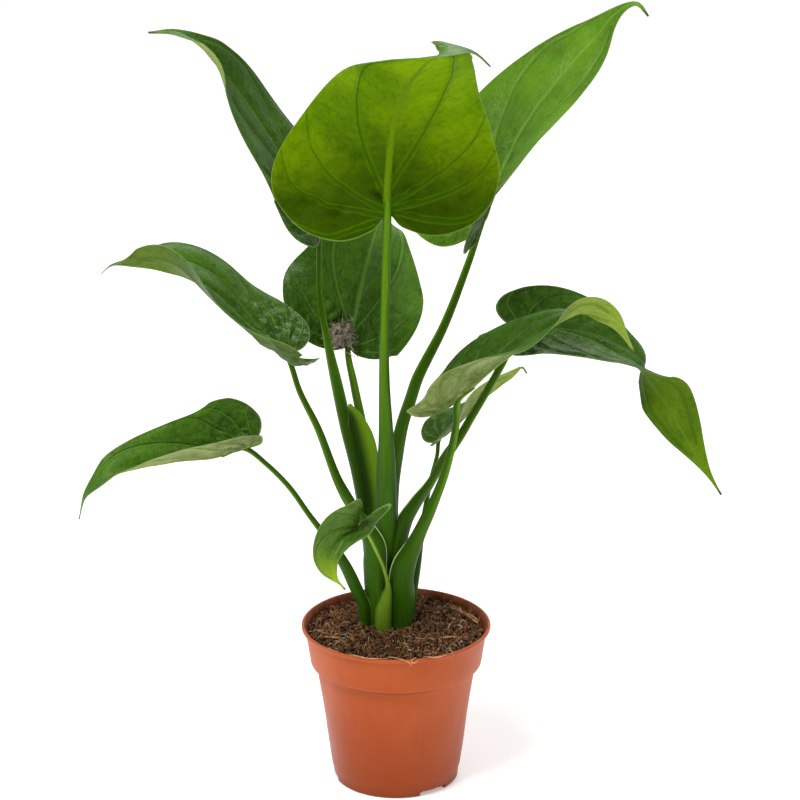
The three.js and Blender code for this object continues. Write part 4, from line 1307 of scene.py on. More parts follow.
@dataclass(frozen=True)
class StalkFinish:
    """A stalk's colours, from the crown up to its blade."""

    name: str
    foot: Colour = (0.04, 0.11, 0.002)
    low: Colour = (0.026, 0.1, 0.0)
    high: Colour = (0.11, 0.26, 0.0)
    margin: Colour = (0.55, 0.68, 0.26)
    # painted shadow inside the sheath's hollow, and painted light on its lit side
    inside: Colour = (0.01, 0.04, 0.001)
    lit: Colour = (0.01, 0.04, 0.001)

    GLOSS = 0.38
    SHEEN = 0.14
    TINT = (0.85, 1.0, 0.4)
    FOOT_ENDS = Step(0.0, 0.18)
    PALER_UP = Step(0.3, 0.8)
    FIBRE = Grain(1.0, 3.0, stretch=(9.0, 9.0, 1.6))
    FIBRE_SHOWS = Step(0.35, 0.7, 0.0, 0.5)
    FIBRE_RISE = 0.0009
    THREAD = Grain(1.0, stretch=(34.0, 34.0, 1.2))
    THREAD_SHOWS = Step(0.5, 0.75, 0.0, 0.12)
    THREAD_RISE = 0.0004
    SPOTS = Grain(300.0)
    SPOTS_SHOW = Step(0.62, 0.75, 0.0, 0.25)
    # painted shade on both flanks of the stalk
    FLANK = Step(0.45, 0.95, 0.0, 0.7)
    FLANK_SHARE = 0.5
    LIT_SIDE = Step(-0.5, 0.5)
    MARGIN_SHOWS = Step(0.45, 0.8)
    ROUGHNESS = Step(0.2, 0.8, 0.32, 0.48)
    BUMP = 0.5

    def material(self) -> bpy.types.Material:
        """Draws up the stalk's material, with its long fibres and the pale margins of its sheath.

        Returns:
            The material.
        """
        sketch = Sketch(f"stalk_{self.name}", self.foot, self.GLOSS, self.SHEEN, self.TINT)
        skin = sketch.attribute("skin", "Vector")
        along = sketch.attribute("along")
        fibre, thread = sketch.noise(self.FIBRE, skin), sketch.noise(self.THREAD, skin)
        sketch.cover(sketch.fade(along, self.FOOT_ENDS), self.low)
        sketch.cover(sketch.fade(along, self.PALER_UP), self.high)
        sketch.cover(sketch.fade(fibre, self.FIBRE_SHOWS), self.low)
        sketch.cover(sketch.fade(thread, self.THREAD_SHOWS), self.margin)
        sketch.cover(sketch.fade(sketch.noise(self.SPOTS), self.SPOTS_SHOW), self.foot)
        turned = sketch.parts(skin)[0]
        # painted shade darkens both flanks of the stalk
        flank = sketch.fade(sketch.math("ABSOLUTE", turned), self.FLANK)
        sketch.cover(flank, shaded(self.low, self.FLANK_SHARE))
        # painted shadow inside the sheath's hollow, painted lighter towards its lit side
        inside = sketch.mix(sketch.fade(turned, self.LIT_SIDE), self.inside, self.lit)
        sketch.cover(sketch.attribute("inside"), inside)
        sketch.cover(sketch.fade(sketch.attribute("margin"), self.MARGIN_SHOWS), self.margin)
        sketch.raise_by(thread, self.THREAD_RISE)
        sketch.raise_by(fibre, self.FIBRE_RISE)
        return sketch.finish(sketch.fade(fibre, self.ROUGHNESS), self.BUMP)


@dataclass
class Stalk:
    """A leaf's stalk: round above, and below a sheath that is open on the side towards the crown."""

    leaf: Leaf
    finish: StalkFinish
    grooves: tuple[float, ...] = ()
    run_out: tuple[float, ...] = ()
    run_out_share: float = 0.55
    sides: int = 28
    ring_step: float = 2.4
    wrap_behind: float = 8.0
    least_half: float = 0.3
    deepest_groove: float = 1.7
    open_from: float = 0.4
    open_to: float = 1.1
    margin_sharpness: float = 50.0
    inside_sharpness: float = 3.0
    skin_length: float = 30.0
    sharp_degrees: float = 75.0

    def build(self) -> bpy.types.Object:
        """Draws the section along the stalk, ring by ring, and closes both ends.

        Returns:
            The stalk.
        """
        stations = list(self.leaf.stalk)
        grooves = self.grooves or tuple(ring.groove for ring in stations)
        if self.run_out:
            half = self.run_out_share * stations[-1].half[0]
            stations.append(Ring(self.run_out, (half, half)))
            grooves = (*grooves, 0)
        chain = Chain([ring.at for ring in stations])
        count = math.ceil(chain.length / self.ring_step)
        place = np.linspace(0, chain.length, count + 1)
        at, along = chain.at(place), chain.along(place)
        if self.leaf.open:
            way = np.broadcast_to(np.array((*self.leaf.open, 0.0)), at.shape)
        else:
            way = np.array((CROWN_MIDDLE[0], CROWN_MIDDLE[1] + self.wrap_behind, 0.0)) - at * (1, 1, 0)
        up = unit(way - along * dot(way, along))
        side = np.cross(along, up)
        across = np.maximum(chain.read([ring.half[0] for ring in stations], place), self.least_half)
        deep = np.maximum(chain.read([ring.half[1] for ring in stations], place), self.least_half)
        groove = np.clip(chain.read(list(grooves), place), 0, self.deepest_groove)

        angle = FULL_TURN * np.arange(self.sides) / self.sides
        cosine, sine = np.cos(angle), np.sin(angle)
        inward = np.where(sine > 0, sine * (1 - groove[:, None]), sine) * deep[:, None]
        x = cosine * across[:, None]
        points = at[:, None] + side[:, None] * x[..., None] + up[:, None] * inward[..., None]

        made = bmesh.new()
        order = drawn_tube(made, self.sides, count)
        ring_of = np.empty(len(made.verts), int)
        side_of = np.empty(len(made.verts), int)
        for r, row in enumerate(order):
            for s, vertex in enumerate(row):
                vertex.co = points[r, s] * MM
                ring_of[vertex.index], side_of[vertex.index] = r, s
        bmesh.ops.recalc_face_normals(made, faces=made.faces)

        name, materials = f"petiole_{self.leaf.name}", [self.finish.material()]
        piece = finished_piece(name, made, materials, self.sharp_degrees)
        open_share = step_between(self.open_from, self.open_to, groove)[ring_of]
        tip = np.abs(cosine[side_of]) ** self.margin_sharpness
        skin = [cosine[side_of], sine[side_of], place[ring_of] / self.skin_length]
        add_values(piece, "skin", np.stack(skin, axis=-1))
        add_values(piece, "along", place[ring_of] / chain.length)
        add_values(piece, "margin", tip * open_share)
        # the sheath's hollow, which the finish paints in shadow
        within = np.clip(sine[side_of] * self.inside_sharpness, 0, 1)
        add_values(piece, "inside", within * (1 - tip) * open_share)
        place_on_frame(piece, "stalk", f"stalk_{self.leaf.name}")
        return piece


# Pot


@dataclass(frozen=True)
class PotFinish:
    """Terracotta-coloured plastic with scuffs, soil marks and a little bloom, and painted shade low on the
    body and under the band.
    """

    base: Colour = (0.42, 0.075, 0.017)
    light: Colour = (0.54, 0.112, 0.03)
    deep: Colour = (0.26, 0.045, 0.009)
    low: Colour = (0.26, 0.038, 0.006)
    # dark brown of the soil marks, also used for the painted shade line under the band
    dirt_and_shade: Colour = (0.07, 0.03, 0.014)
    tint: Colour = (1.0, 0.6, 0.4)

    GLOSS = 0.4
    SHEEN = 0.35
    CLOUDS = Grain(16.0, 3.0)
    CLOUDS_SHOW = Step(0.3, 0.75)
    STREAKS = Grain(1.0, 4.0, 0.6, stretch=(130.0, 130.0, 14.0))
    STREAKS_SHOW = Step(0.5, 0.8, 0.0, 0.3)
    SPECKS = Grain(900.0)
    SPECKS_SHOW = Step(0.58, 0.75, 0.0, 0.35)
    SPECKS_RISE = 0.00012
    SCUFFS = Grain(1.0, 6.0, 0.7, stretch=(60.0, 60.0, 420.0))
    SCUFFS_SHOW = Step(0.56, 0.68)
    SCUFFS_RISE = -0.0001
    PATCHES = Grain(34.0)
    PATCHES_SHOW = Step(0.5, 0.66)
    WORN_SHARE = 0.45
    WORN_ROUGHER = 0.18
    # heights in metres: the body's painted shade, the painted shade line under the band and the splashed foot
    LOW_SHADE = Step(0.0, 0.085, 0.85, 0.0)
    UNDER_BAND_SHADE = 0.0777
    UNDER_BAND_SHADE_STEP = Step(0.0003, 0.0016, 0.75, 0.0)
    SPLASHES = Grain(120.0, 4.0)
    SPLASH_REACH = 0.01
    SPLASHED = Step(0.012, 0.004)
    SPLASH_SHARE = 0.35
    MUD = Grain(150.0, 4.0, 0.65)
    MUD_SHOWS = Step(0.3, 0.7, 0.45, 0.95)
    DOTS = Grain(260.0, 5.0, 0.7)
    DOTS_SHOW = Step(0.66, 0.72, 0.0, 0.4)
    WAVES = Grain(70.0)
    WAVES_RISE = 0.0006
    ROUGHNESS = Step(0.0, 1.0, 0.38, 0.5)
    BUMP = 0.5

    def material(self) -> bpy.types.Material:
        """Draws up the pot's plastic.

        Returns:
            The material.
        """
        sketch = Sketch("pot_plastic", self.base, self.GLOSS, self.SHEEN, self.tint)
        cloud = sketch.fade(sketch.noise(self.CLOUDS), self.CLOUDS_SHOW)
        specks, scuffs = sketch.noise(self.SPECKS), sketch.noise(self.SCUFFS)
        patches = sketch.fade(sketch.noise(self.PATCHES), self.PATCHES_SHOW)
        worn = sketch.math("MULTIPLY", sketch.fade(scuffs, self.SCUFFS_SHOW), patches)
        height = sketch.parts(sketch.place())[2]
        splash = sketch.math("MULTIPLY", sketch.noise(self.SPLASHES), self.SPLASH_REACH)
        soiled = sketch.fade(sketch.math("ADD", height, splash), self.SPLASHED)
        mud = sketch.fade(sketch.noise(self.MUD), self.MUD_SHOWS)

        sketch.cover(cloud, self.light)
        sketch.cover(sketch.fade(sketch.noise(self.STREAKS), self.STREAKS_SHOW), self.deep)
        sketch.cover(sketch.fade(specks, self.SPECKS_SHOW), self.light)
        sketch.cover(sketch.math("MULTIPLY", worn, self.WORN_SHARE), self.light)
        sketch.cover(sketch.fade(height, self.LOW_SHADE), self.low)
        # painted shade: a dark line under the band's ledge
        sketch.cover(sketch.fade(sketch.apart(height, self.UNDER_BAND_SHADE), self.UNDER_BAND_SHADE_STEP), self.dirt_and_shade)
        sketch.cover(sketch.math("MULTIPLY", sketch.attribute("inner"), mud), self.dirt_and_shade)
        sketch.cover(sketch.math("MULTIPLY", soiled, self.SPLASH_SHARE), self.dirt_and_shade)
        sketch.cover(sketch.fade(sketch.noise(self.DOTS), self.DOTS_SHOW), self.dirt_and_shade)
        sketch.raise_by(specks, self.SPECKS_RISE)
        sketch.raise_by(sketch.noise(self.WAVES), self.WAVES_RISE)
        sketch.raise_by(scuffs, self.SCUFFS_RISE)
        rougher = sketch.math("MULTIPLY", worn, self.WORN_ROUGHER)
        return sketch.finish(sketch.math("ADD", sketch.fade(cloud, self.ROUGHNESS), rougher), self.BUMP)


@dataclass
class Pot:
    """A thin plastic nursery pot: a deep band under a rolled lip, a tapering body and a foot with notches."""

    finish: PotFinish
    height: float = 104.0
    rim: float = 60.0
    band_height: float = 25.4
    band_top: float = 57.6
    band_foot: float = 54.4
    band_steps: int = 5
    body_top: float = 50.7
    body_foot: float = 41.2
    body_steps: int = 14
    foot_height: float = 9.0
    foot: float = 39.0
    wall: float = 1.3
    wall_turn: float = 0.6
    lip_height: float = 3.4
    floor: float = 1.7
    floor_lift: float = 1.6
    pad: float = 13.0
    foot_ring: float = 3.0
    foot_bevel: float = 0.8
    foot_swell: float = 0.9
    steps: int = 168
    hole_count: int = 6
    hole_radius: float = 4.0
    hole_circle: float = 24.0
    hole_sides: int = 24
    hole_depth: float = 20.0
    notch_count: int = 3
    notch_turn: float = 37.0
    notch_width: float = 20.0
    notch_height: float = 3.2
    notch_reach: float = 8.0
    dent: float = 0.64
    dent_round: float = 2.2
    dent_height: float = 30.0
    dent_above: tuple[float, float] = (10, 26)
    dent_below: tuple[float, float] = (66, 80)
    lip_inside: float = 1.6
    wall_inside: float = 0.8
    sharp_degrees: float = 38.0

    # out from the body's top and from the band's foot, and up from the ledge between them
    UNDER_LEDGE = ((-0.1, -1.0), (0.25, -0.25), (1.2, 0.0))
    OVER_LEDGE = ((-0.9, 0.0), (-0.25, 0.25), (0.0, 0.9))
    # in from the rim and down from the top
    LIP = ((1.9, 3.05), (1.0, 2.75), (0.35, 2.4), (0.05, 1.8), (0.0, 1.2), (0.15, 0.45), (0.6, 0.05),
           (1.2, 0.0), (1.7, 0.3), (2.2, 0.9), (3.1, 2.0))

    def ledge(self) -> float:
        """The height of the ledge under the band."""
        return self.height - self.band_height

    def outside(self) -> list[tuple[float, float]]:
        """The outside's outline.

        Returns:
            Points of radius and height, from the middle of the underside up to the lip.
        """
        ledge = self.ledge()
        ring_inside = self.foot - self.foot_ring
        foot = [
            (0, 0), (self.pad, 0), (self.pad + self.floor_lift, self.floor_lift),
            (ring_inside - self.floor_lift, self.floor_lift), (ring_inside, 0),
            (self.foot, 0), (self.foot + self.foot_bevel, self.foot_bevel),
            (self.body_foot - self.foot_swell, self.foot_height - 3 * self.foot_swell),
            (self.body_foot, self.foot_height),
        ]
        body = between(foot[-1], (self.body_top, ledge), self.body_steps)[:-1]
        shoulder = [(self.body_top + out, ledge + up) for out, up in self.UNDER_LEDGE]
        shoulder += [(self.band_foot + out, ledge + up) for out, up in self.OVER_LEDGE]
        band = between(shoulder[-1], (self.band_top, self.height - self.lip_height), self.band_steps)
        return [*foot, *body, *shoulder, *band]

    def profile(self) -> list[tuple[float, float]]:
        """The whole outline: up the outside, round the lip and down the inside.

        Returns:
            Points of radius and height, from axis to axis.
        """
        ledge, wall, floor_top = self.ledge(), self.wall, self.floor_lift + self.floor
        lip = [(self.rim - into, self.height - down) for into, down in self.LIP]
        inner = [(self.band_top - wall, self.height - self.lip_height),
                 (self.band_foot - wall, ledge + wall + self.wall_turn),
                 (self.body_top - wall, ledge + wall - self.wall_turn),
                 (self.body_foot - wall, self.foot_height),
                 (self.foot - wall, floor_top), (0, floor_top)]
        return [*self.outside(), *lip, *inner]

    def dented(self) -> bmesh.types.BMesh:
        """Turns the wall round its axis, and dents its body softly.

        Returns:
            The wall, in metres.
        """
        made = spun(self.profile(), self.steps)
        for vertex in made.verts:
            x, y, z = vertex.co / MM
            radius, turn = math.hypot(x, y), math.atan2(y, x)
            if radius <= self.foot:
                continue
            spot = (self.dent_round * math.cos(turn), self.dent_round * math.sin(turn), z / self.dent_height)
            risen = float(step_between(*self.dent_above, np.array(z)))
            ended = float(step_between(*self.dent_below, np.array(z)))
            scale = 1 + self.dent * risen * (1 - ended) * noise.noise(Vector(spot)) / radius
            vertex.co.x *= scale
            vertex.co.y *= scale
        return made

    def cutters(self) -> bmesh.types.BMesh:
        """Shapes what is cut away: the drain holes in the floor and the notches in the foot.

        Returns:
            All of them as one mesh, in metres.
        """
        made = bmesh.new()
        for i in range(self.hole_count):
            turn = FULL_TURN * i / self.hole_count
            spot = Matrix.Translation(Vector((math.cos(turn), math.sin(turn), 0)) * self.hole_circle * MM)
            radius, depth = self.hole_radius * MM, self.hole_depth * MM
            bmesh.ops.create_cone(made, cap_ends=True, segments=self.hole_sides, radius1=radius,
                                  radius2=radius, depth=depth, matrix=spot)
        for i in range(self.notch_count):
            turned = Matrix.Rotation(math.radians(self.notch_turn + 360 * i / self.notch_count), 4, "Z")
            spot = turned @ Matrix.Translation((0, -self.foot * MM, 0)) @ Matrix.Diagonal((MM, MM, MM, 1))
            size = Matrix.Diagonal((self.notch_width, self.notch_reach, 2 * self.notch_height, 1))
            bmesh.ops.create_cube(made, size=1.0, matrix=spot @ size)
        return made

    def build(self) -> bpy.types.Object:
        """Builds the pot, cuts its holes and marks the side that touches the soil.

        Returns:
            The pot.
        """
        piece = finished_piece("nursery_pot", self.dented(), [self.finish.material()], self.sharp_degrees)
        cut_away(piece, self.cutters())
        places = np.array([vertex.co for vertex in piece.data.vertices]) / MM
        radius, height = np.hypot(places[:, 0], places[:, 1]), places[:, 2]
        outer = np.array([point for point in self.outside() if point[1] >= self.foot_height])
        wall = np.interp(height, outer[:, 1], outer[:, 0])
        lip = (radius < self.rim - self.lip_inside) & (height > self.height - self.lip_height)
        inner = (radius < wall - self.wall_inside) & (height > self.foot_height)
        add_values(piece, "inner", (lip | inner).astype(float))
        place_on_frame(piece, "pot", "pot")
        return piece


def between(low: tuple[float, float], high: tuple[float, float], steps: int) -> list[tuple[float, float]]:
    """Evenly spaced points after the low one, up to the high one."""
    return [(low[0] + (high[0] - low[0]) * k / steps, low[1] + (high[1] - low[1]) * k / steps)
            for k in range(1, steps + 1)]


# Soil


@dataclass(frozen=True)
class EarthFinish:
    """A crumbly or fibrous material of the potting mix."""

    name: str
    dark: Colour
    light: Colour
    scale: float
    roughness: float = 0.9

    LIGHT_SHOWS = Step(0.42, 0.62)
    CELLS_FINER = 4
    CELLS_SHOW = Step(0.0, 0.5, 0.5, 0.0)
    CLOUDS_RISE = 0.0012
    CELLS_RISE = 0.0005
    GLOSSIER = 0.12
    BUMP = 0.9

    def material(self) -> bpy.types.Material:
        """Draws up the material.

        Returns:
            The material.
        """
        sketch = Sketch(f"earth_{self.name}", self.dark, self.roughness)
        cloud = sketch.noise(Grain(self.scale, 5.0, 0.65))
        cells = sketch.cells(self.scale * self.CELLS_FINER)
        sketch.cover(sketch.fade(cloud, self.LIGHT_SHOWS), self.light)
        sketch.cover(sketch.fade(cells, self.CELLS_SHOW), self.dark)
        sketch.raise_by(cloud, self.CLOUDS_RISE)
        sketch.raise_by(cells, self.CELLS_RISE)
        rough = sketch.fade(cloud, Step(0.0, 1.0, self.roughness - self.GLOSSIER, self.roughness))
        return sketch.finish(rough, self.BUMP)


@dataclass(frozen=True)
class Fibre:
    """A thin bent fibre: its stations, in millimetres, and its thickest radius."""

    points: tuple[Point, ...]
    radius: float


@dataclass
class Soil:
    """The potting mix: a lumpy surface with crumbs, fibres, perlite and bark on it.

    Each of the lumps is a wave: its height, its turns to a millimetre across and away, and its start.
    """

    surface: float = 100.0
    edge_drop: float = 1.0
    edge_width: float = 10.0
    fit: float = 0.6
    heap: float = 2.0
    heap_reach: float = 26.0
    lumps: tuple[tuple[float, float, float, float], ...] = (
        (0.9, 0.31, 0.05, 1.3), (0.7, 0.04, 0.27, 0.4), (0.6, 0.53, -0.47, 0.0),
    )
    inside: float = 55.5
    seed: int = 11
    top_rings: int = 110
    top_steps: int = 260
    top_margin: float = 0.5
    floor_gap: float = 0.3
    wall_turn: float = 1.6
    sunk: float = 0.8
    rough_size: float = 5.0
    rough_height: float = 1.6
    clod_size: float = 9.0
    clod_height: float = 1.2
    pit_size: float = 3.2
    pit_depth: float = 4.0
    pit_from: float = 0.15
    rough_fall: float = 0.6
    rough_finer: float = 2.1
    rough_layers: int = 5
    field_seeds: Point = (1.7, 5.1, 9.4)
    bed_sharp: float = 80.0
    loose_sharp: float = 60.0
    crumb_reach: float = 55.0
    crumb_scarcity: float = 2.5
    crumb_lift: float = 0.4
    crumb_turn: float = 6.28
    crumb_narrowest: float = 0.6
    crumb_lumps: tuple[float, float] = (0.72, 1.25)
    fibre_steps: int = 7
    fibre_sides: int = 5
    fibre_parts: int = 4
    fibre_bend: float = 0.5
    fibre_arch: tuple[float, float] = (0.4, 3.0)
    fibre_wobble: tuple[float, float] = (0.1, 0.8)
    fibre_taper: float = 0.6
    nearly_up: Point = (0.0, 0.02, 1.0)
    fibre_keep_in: float = 2.0
    fibre_wall_gap: float = 0.3

    def level(self, x: float, y: float) -> float:
        """The height of the soil's surface at a place.

        Args:
            x: The place, to the right.
            y: The place, away.

        Returns:
            The height, in millimetres.
        """
        lump = sum(high * math.sin(a * x + b * y + start) for high, a, b, start in self.lumps)
        apart = (x - CROWN_MIDDLE[0]) ** 2 + (y - CROWN_MIDDLE[1]) ** 2
        heap = self.heap * math.exp(-apart / self.heap_reach**2)
        share = min(max((math.hypot(x, y) - self.inside + self.edge_width) / self.edge_width, 0), 1)
        return self.surface + lump + heap - self.edge_drop * share

    def build_bed(self, pot: Pot, finish: EarthFinish) -> bpy.types.Object:
        """Turns the body of soil that fills the pot, and roughens its top.

        Args:
            pot: The pot that it fills.
            finish: Its material.

        Returns:
            The bed.
        """
        ledge = pot.ledge() + pot.wall
        gap = pot.wall + self.fit
        bottom = pot.floor_lift + pot.floor + self.floor_gap
        top = [(self.inside * k / self.top_rings, self.surface) for k in range(self.top_rings + 1)]
        low = [(pot.band_foot - gap, ledge + self.wall_turn), (pot.body_top - gap, ledge),
               (pot.body_foot - gap, pot.foot_height), (pot.foot - gap, bottom), (0, bottom)]
        made = spun([*top, *low], self.top_steps)
        for vertex in made.verts:
            x, y, z = vertex.co / MM
            if z > self.surface - self.top_margin:
                vertex.co.z = (self.level(x, y) - self.sunk + self.roughness(x, y)) * MM
        piece = finished_piece("potting_mix", made, [finish.material()], self.bed_sharp)
        place_on_frame(piece, "soil", "soil", "crown")
        return piece

    def roughness(self, x: float, y: float) -> float:
        """How far the bed's clods rise and its pits sink at a place.

        Args:
            x: The place, to the right.
            y: The place, away.

        Returns:
            The rise, in millimetres.
        """
        at_rough, at_clod, at_pit = (
            Vector((x / size, y / size, seed))
            for size, seed in zip((self.rough_size, self.clod_size, self.pit_size), self.field_seeds)
        )
        rough = noise.fractal(at_rough, self.rough_fall, self.rough_finer, self.rough_layers)
        clod = noise.noise(at_clod)
        pit = max(noise.noise(at_pit) - self.pit_from, 0.0)
        return self.rough_height * rough + self.clod_height * clod - self.pit_depth * pit

    def free_spot(self, draw: random.Random, reach: float) -> tuple[float, float]:
        """A random place on the soil, no further than reach from the pot's axis."""
        radius, turn = reach * math.sqrt(draw.random()), draw.uniform(0, FULL_TURN)
        return radius * math.cos(turn), radius * math.sin(turn)

    def build_crumbs(self, name: str, finish: EarthFinish, count: int, sizes: tuple[float, float],
                     squash: float = 0.7) -> bpy.types.Object:
        """Scatters lumps of a few dozen faces over the surface.

        Args:
            name: The piece's name.
            finish: Its material.
            count: How many lumps.
            sizes: Their least and greatest radius.
            squash: Their height's share of their width.

        Returns:
            All the lumps, as one piece.
        """
        draw = random.Random(f"{self.seed}{name}")
        made = bmesh.new()
        bmesh.ops.create_icosphere(made, subdivisions=1, radius=MM)
        ball = [vertex.co.copy() for vertex in made.verts]
        repeat(made, count)
        for start in range(0, len(made.verts), len(ball)):
            x, y = self.free_spot(draw, self.crumb_reach)
            size = sizes[0] + (sizes[1] - sizes[0]) * draw.random() ** self.crumb_scarcity
            turn = Matrix.Rotation(draw.uniform(0, self.crumb_turn), 3, (draw.random(), draw.random(), 1))
            shape = Matrix.Diagonal((size, size * draw.uniform(self.crumb_narrowest, 1), size * squash))
            middle = Vector((x, y, self.level(x, y) + self.crumb_lift * size)) * MM
            for vertex, point in zip(made.verts[start:start + len(ball)], ball):
                vertex.co = middle + turn @ shape @ point * draw.uniform(*self.crumb_lumps)
        piece = finished_piece(name, made, [finish.material()], self.loose_sharp)
        place_on_frame(piece, "soil")
        return piece

    def scattered(self, name: str, count: int, sizes: tuple[float, float],
                  lengths: tuple[float, float] = (2.5, 8.0)) -> list[Fibre]:
        """Draws thin bent fibres at random on the surface.

        Args:
            name: What the fibres are called, which seeds the drawing.
            count: How many fibres.
            sizes: Their least and greatest radius.
            lengths: Their least and greatest length.

        Returns:
            The fibres.
        """
        draw = random.Random(f"{self.seed}{name}")
        parts = self.fibre_parts
        drawn = []
        for _ in range(count):
            x, y = self.free_spot(draw, self.inside - self.fibre_keep_in)
            turn, bend = draw.uniform(0, FULL_TURN), draw.uniform(-self.fibre_bend, self.fibre_bend)
            length, lift = draw.uniform(*lengths), draw.uniform(*self.fibre_arch)
            points = []
            for k in range(parts + 1):
                arch = lift * math.sin(math.pi * k / parts)
                points.append((x, y, self.level(x, y) + arch + draw.uniform(*self.fibre_wobble)))
                x += math.cos(turn) * length / parts
                y += math.sin(turn) * length / parts
                turn += bend
            drawn.append(Fibre(tuple(points), draw.uniform(*sizes)))
        return drawn

    def build_fibres(self, name: str, finish: EarthFinish, fibres: list[Fibre],
                     held: bool = True) -> bpy.types.Object:
        """Draws each fibre as a thin tube that narrows at both ends.

        Args:
            name: The piece's name.
            finish: Their material.
            fibres: The fibres.
            held: Whether they are kept inside the pot.

        Returns:
            All the fibres, as one piece.
        """
        made = bmesh.new()
        tube = drawn_tube(made, self.fibre_sides, self.fibre_steps)
        order = np.argsort([vertex.index for ring in tube for vertex in ring])
        repeat(made, len(fibres))
        sides = FULL_TURN * np.arange(self.fibre_sides) / self.fibre_sides
        for number, fibre in enumerate(fibres):
            chain = Chain(list(fibre.points))
            place = np.linspace(0, chain.length, self.fibre_steps + 1)
            along = chain.along(place)
            beside = unit(np.cross(along, self.nearly_up))
            over = np.cross(beside, along)
            thin = fibre.radius * (1 - self.fibre_taper * np.abs(2 * place / chain.length - 1) ** 3)
            rows = (chain.at(place)[:, None] + beside[:, None] * (np.cos(sides) * thin[:, None])[..., None]
                    + over[:, None] * (np.sin(sides) * thin[:, None])[..., None])
            start = number * len(order)
            for vertex, point in zip(made.verts[start:start + len(order)], rows.reshape(-1, 3)[order]):
                vertex.co = point * MM
        if held:
            keep_within(made, self.inside - self.fibre_wall_gap)
        bmesh.ops.recalc_face_normals(made, faces=made.faces)
        piece = finished_piece(name, made, [finish.material()], self.loose_sharp)
        place_on_frame(piece, "soil")
        return piece


def keep_within(made: bmesh.types.BMesh, reach: float) -> None:
    """Draws in each vertex that lies too far from the pot's axis.

    Args:
        made: The mesh, in metres.
        reach: The furthest that a vertex may lie, in millimetres.
    """
    for vertex in made.verts:
        far = math.hypot(vertex.co.x, vertex.co.y) / MM
        if far > reach:
            vertex.co.x *= reach / far
            vertex.co.y *= reach / far


# Stage


@dataclass(frozen=True)
class Stage:
    """The pale floor, the soft lights and the camera at the photograph's angle.

    The camera's target and distance are in millimetres, everything else is in metres.
    """

    target: Point = (2.5, 0.0, 253.0)
    elevation: float = 18.5
    distance: float = 1800.0
    lens: float = 130.9
    sensor: float = 36.0
    clip_end: float = 50.0
    lit_middle: Point = (0.0, 0.0, 0.25)
    floor_half: float = 12.0
    floor_parts: int = 8
    floor_gloss: float = 0.8
    floor_dark: Colour = (0.93, 0.93, 0.93)
    floor_light: Colour = (0.96, 0.96, 0.96)
    floor_clouds: Grain = Grain(3.0)
    floor_show: Step = Step(0.3, 0.7)
    floor_glow: float = 0.3
    air_light: float = 0.42

    def build_camera(self) -> None:
        """Sets the camera up where the photograph was taken from."""
        data = bpy.data.cameras.new("camera")
        data.lens, data.sensor_width, data.clip_end = self.lens, self.sensor, self.clip_end
        camera = bpy.data.objects.new("camera", data)
        tilt = math.radians(self.elevation)
        away = Vector((0, -math.cos(tilt), math.sin(tilt))) * self.distance
        camera.location = (Vector(self.target) + away) * MM
        camera.rotation_euler = (math.pi / 2 - tilt, 0, 0)
        bpy.context.collection.objects.link(camera)
        bpy.context.scene.camera = camera

    def build_light(self, name: str, at: Point, size: float, watts: float) -> None:
        """Adds a square soft light that faces the plant.

        Args:
            name: The light's name.
            at: Its place.
            size: The length of its side.
            watts: Its power.
        """
        data = bpy.data.lights.new(name, "AREA")
        data.size, data.energy = size, watts
        light = bpy.data.objects.new(name, data)
        light.location = at
        light.rotation_euler = (Vector(self.lit_middle) - Vector(at)).to_track_quat("-Z", "Y").to_euler()
        bpy.context.collection.objects.link(light)

    def build_floor(self) -> None:
        """Lays the pale floor, which glows a little so that it comes out near white."""
        made = bmesh.new()
        parts = self.floor_parts
        bmesh.ops.create_grid(made, x_segments=parts, y_segments=parts, size=self.floor_half)
        sketch = Sketch("floor", self.floor_dark, self.floor_gloss)
        sketch.cover(sketch.fade(sketch.noise(self.floor_clouds), self.floor_show), self.floor_light)
        sketch.shader.inputs["Emission Color"].default_value = (*WHITE, 1.0)
        sketch.shader.inputs["Emission Strength"].default_value = self.floor_glow
        finished_piece("floor", made, [sketch.finish()])

    def build(self) -> None:
        """Lays the floor and hangs the lights."""
        self.build_floor()
        self.build_light("key", at=(-1.1, -1.2, 2.6), size=1.1, watts=58.0)
        self.build_light("fill", at=(1.9, -1.8, 1.2), size=2.0, watts=8.0)
        self.build_light("back", at=(0.6, 1.9, 2.2), size=1.6, watts=32.0)
        world = bpy.data.worlds.new("studio")
        world.use_nodes = True
        air = world.node_tree.nodes["Background"]
        air.inputs[0].default_value = (*WHITE, 1.0)
        air.inputs[1].default_value = self.air_light
        bpy.context.scene.world = world
        bpy.context.scene.view_settings.view_transform = "Standard"


# Finishes of this plant

DARK_UPPER = BladeFinish(
    "glossy", LeafSide.UPPER, deep=(0.03, 0.095, 0.003), bright=(0.07, 0.185, 0.007), vein=(0.12, 0.27, 0.03),
    rib=(0.13, 0.27, 0.04), margin=(0.2, 0.32, 0.1), gloss=0.38, vein_share=0.32, shade=0.4, sheen=0.2,
)
FRESH_UPPER = BladeFinish(
    "fresh", LeafSide.UPPER, deep=(0.06, 0.16, 0.002), bright=(0.115, 0.28, 0.004), vein=(0.15, 0.32, 0.02),
    rib=(0.18, 0.34, 0.05), margin=(0.24, 0.38, 0.08), gloss=0.36, vein_share=0.25, shade=0.25,
    pucker=0.005, mottle=0.2,
)
YOUNG_UPPER = BladeFinish(
    "young", LeafSide.UPPER, deep=(0.035, 0.11, 0.004), bright=(0.09, 0.2, 0.016), vein=(0.12, 0.25, 0.03),
    rib=(0.2, 0.34, 0.06), margin=(0.3, 0.42, 0.12), gloss=0.34, vein_share=0.3, shade=0.3, sheen=0.35,
    pucker=0.006, mottle=0.3, ripe=0.9,
)
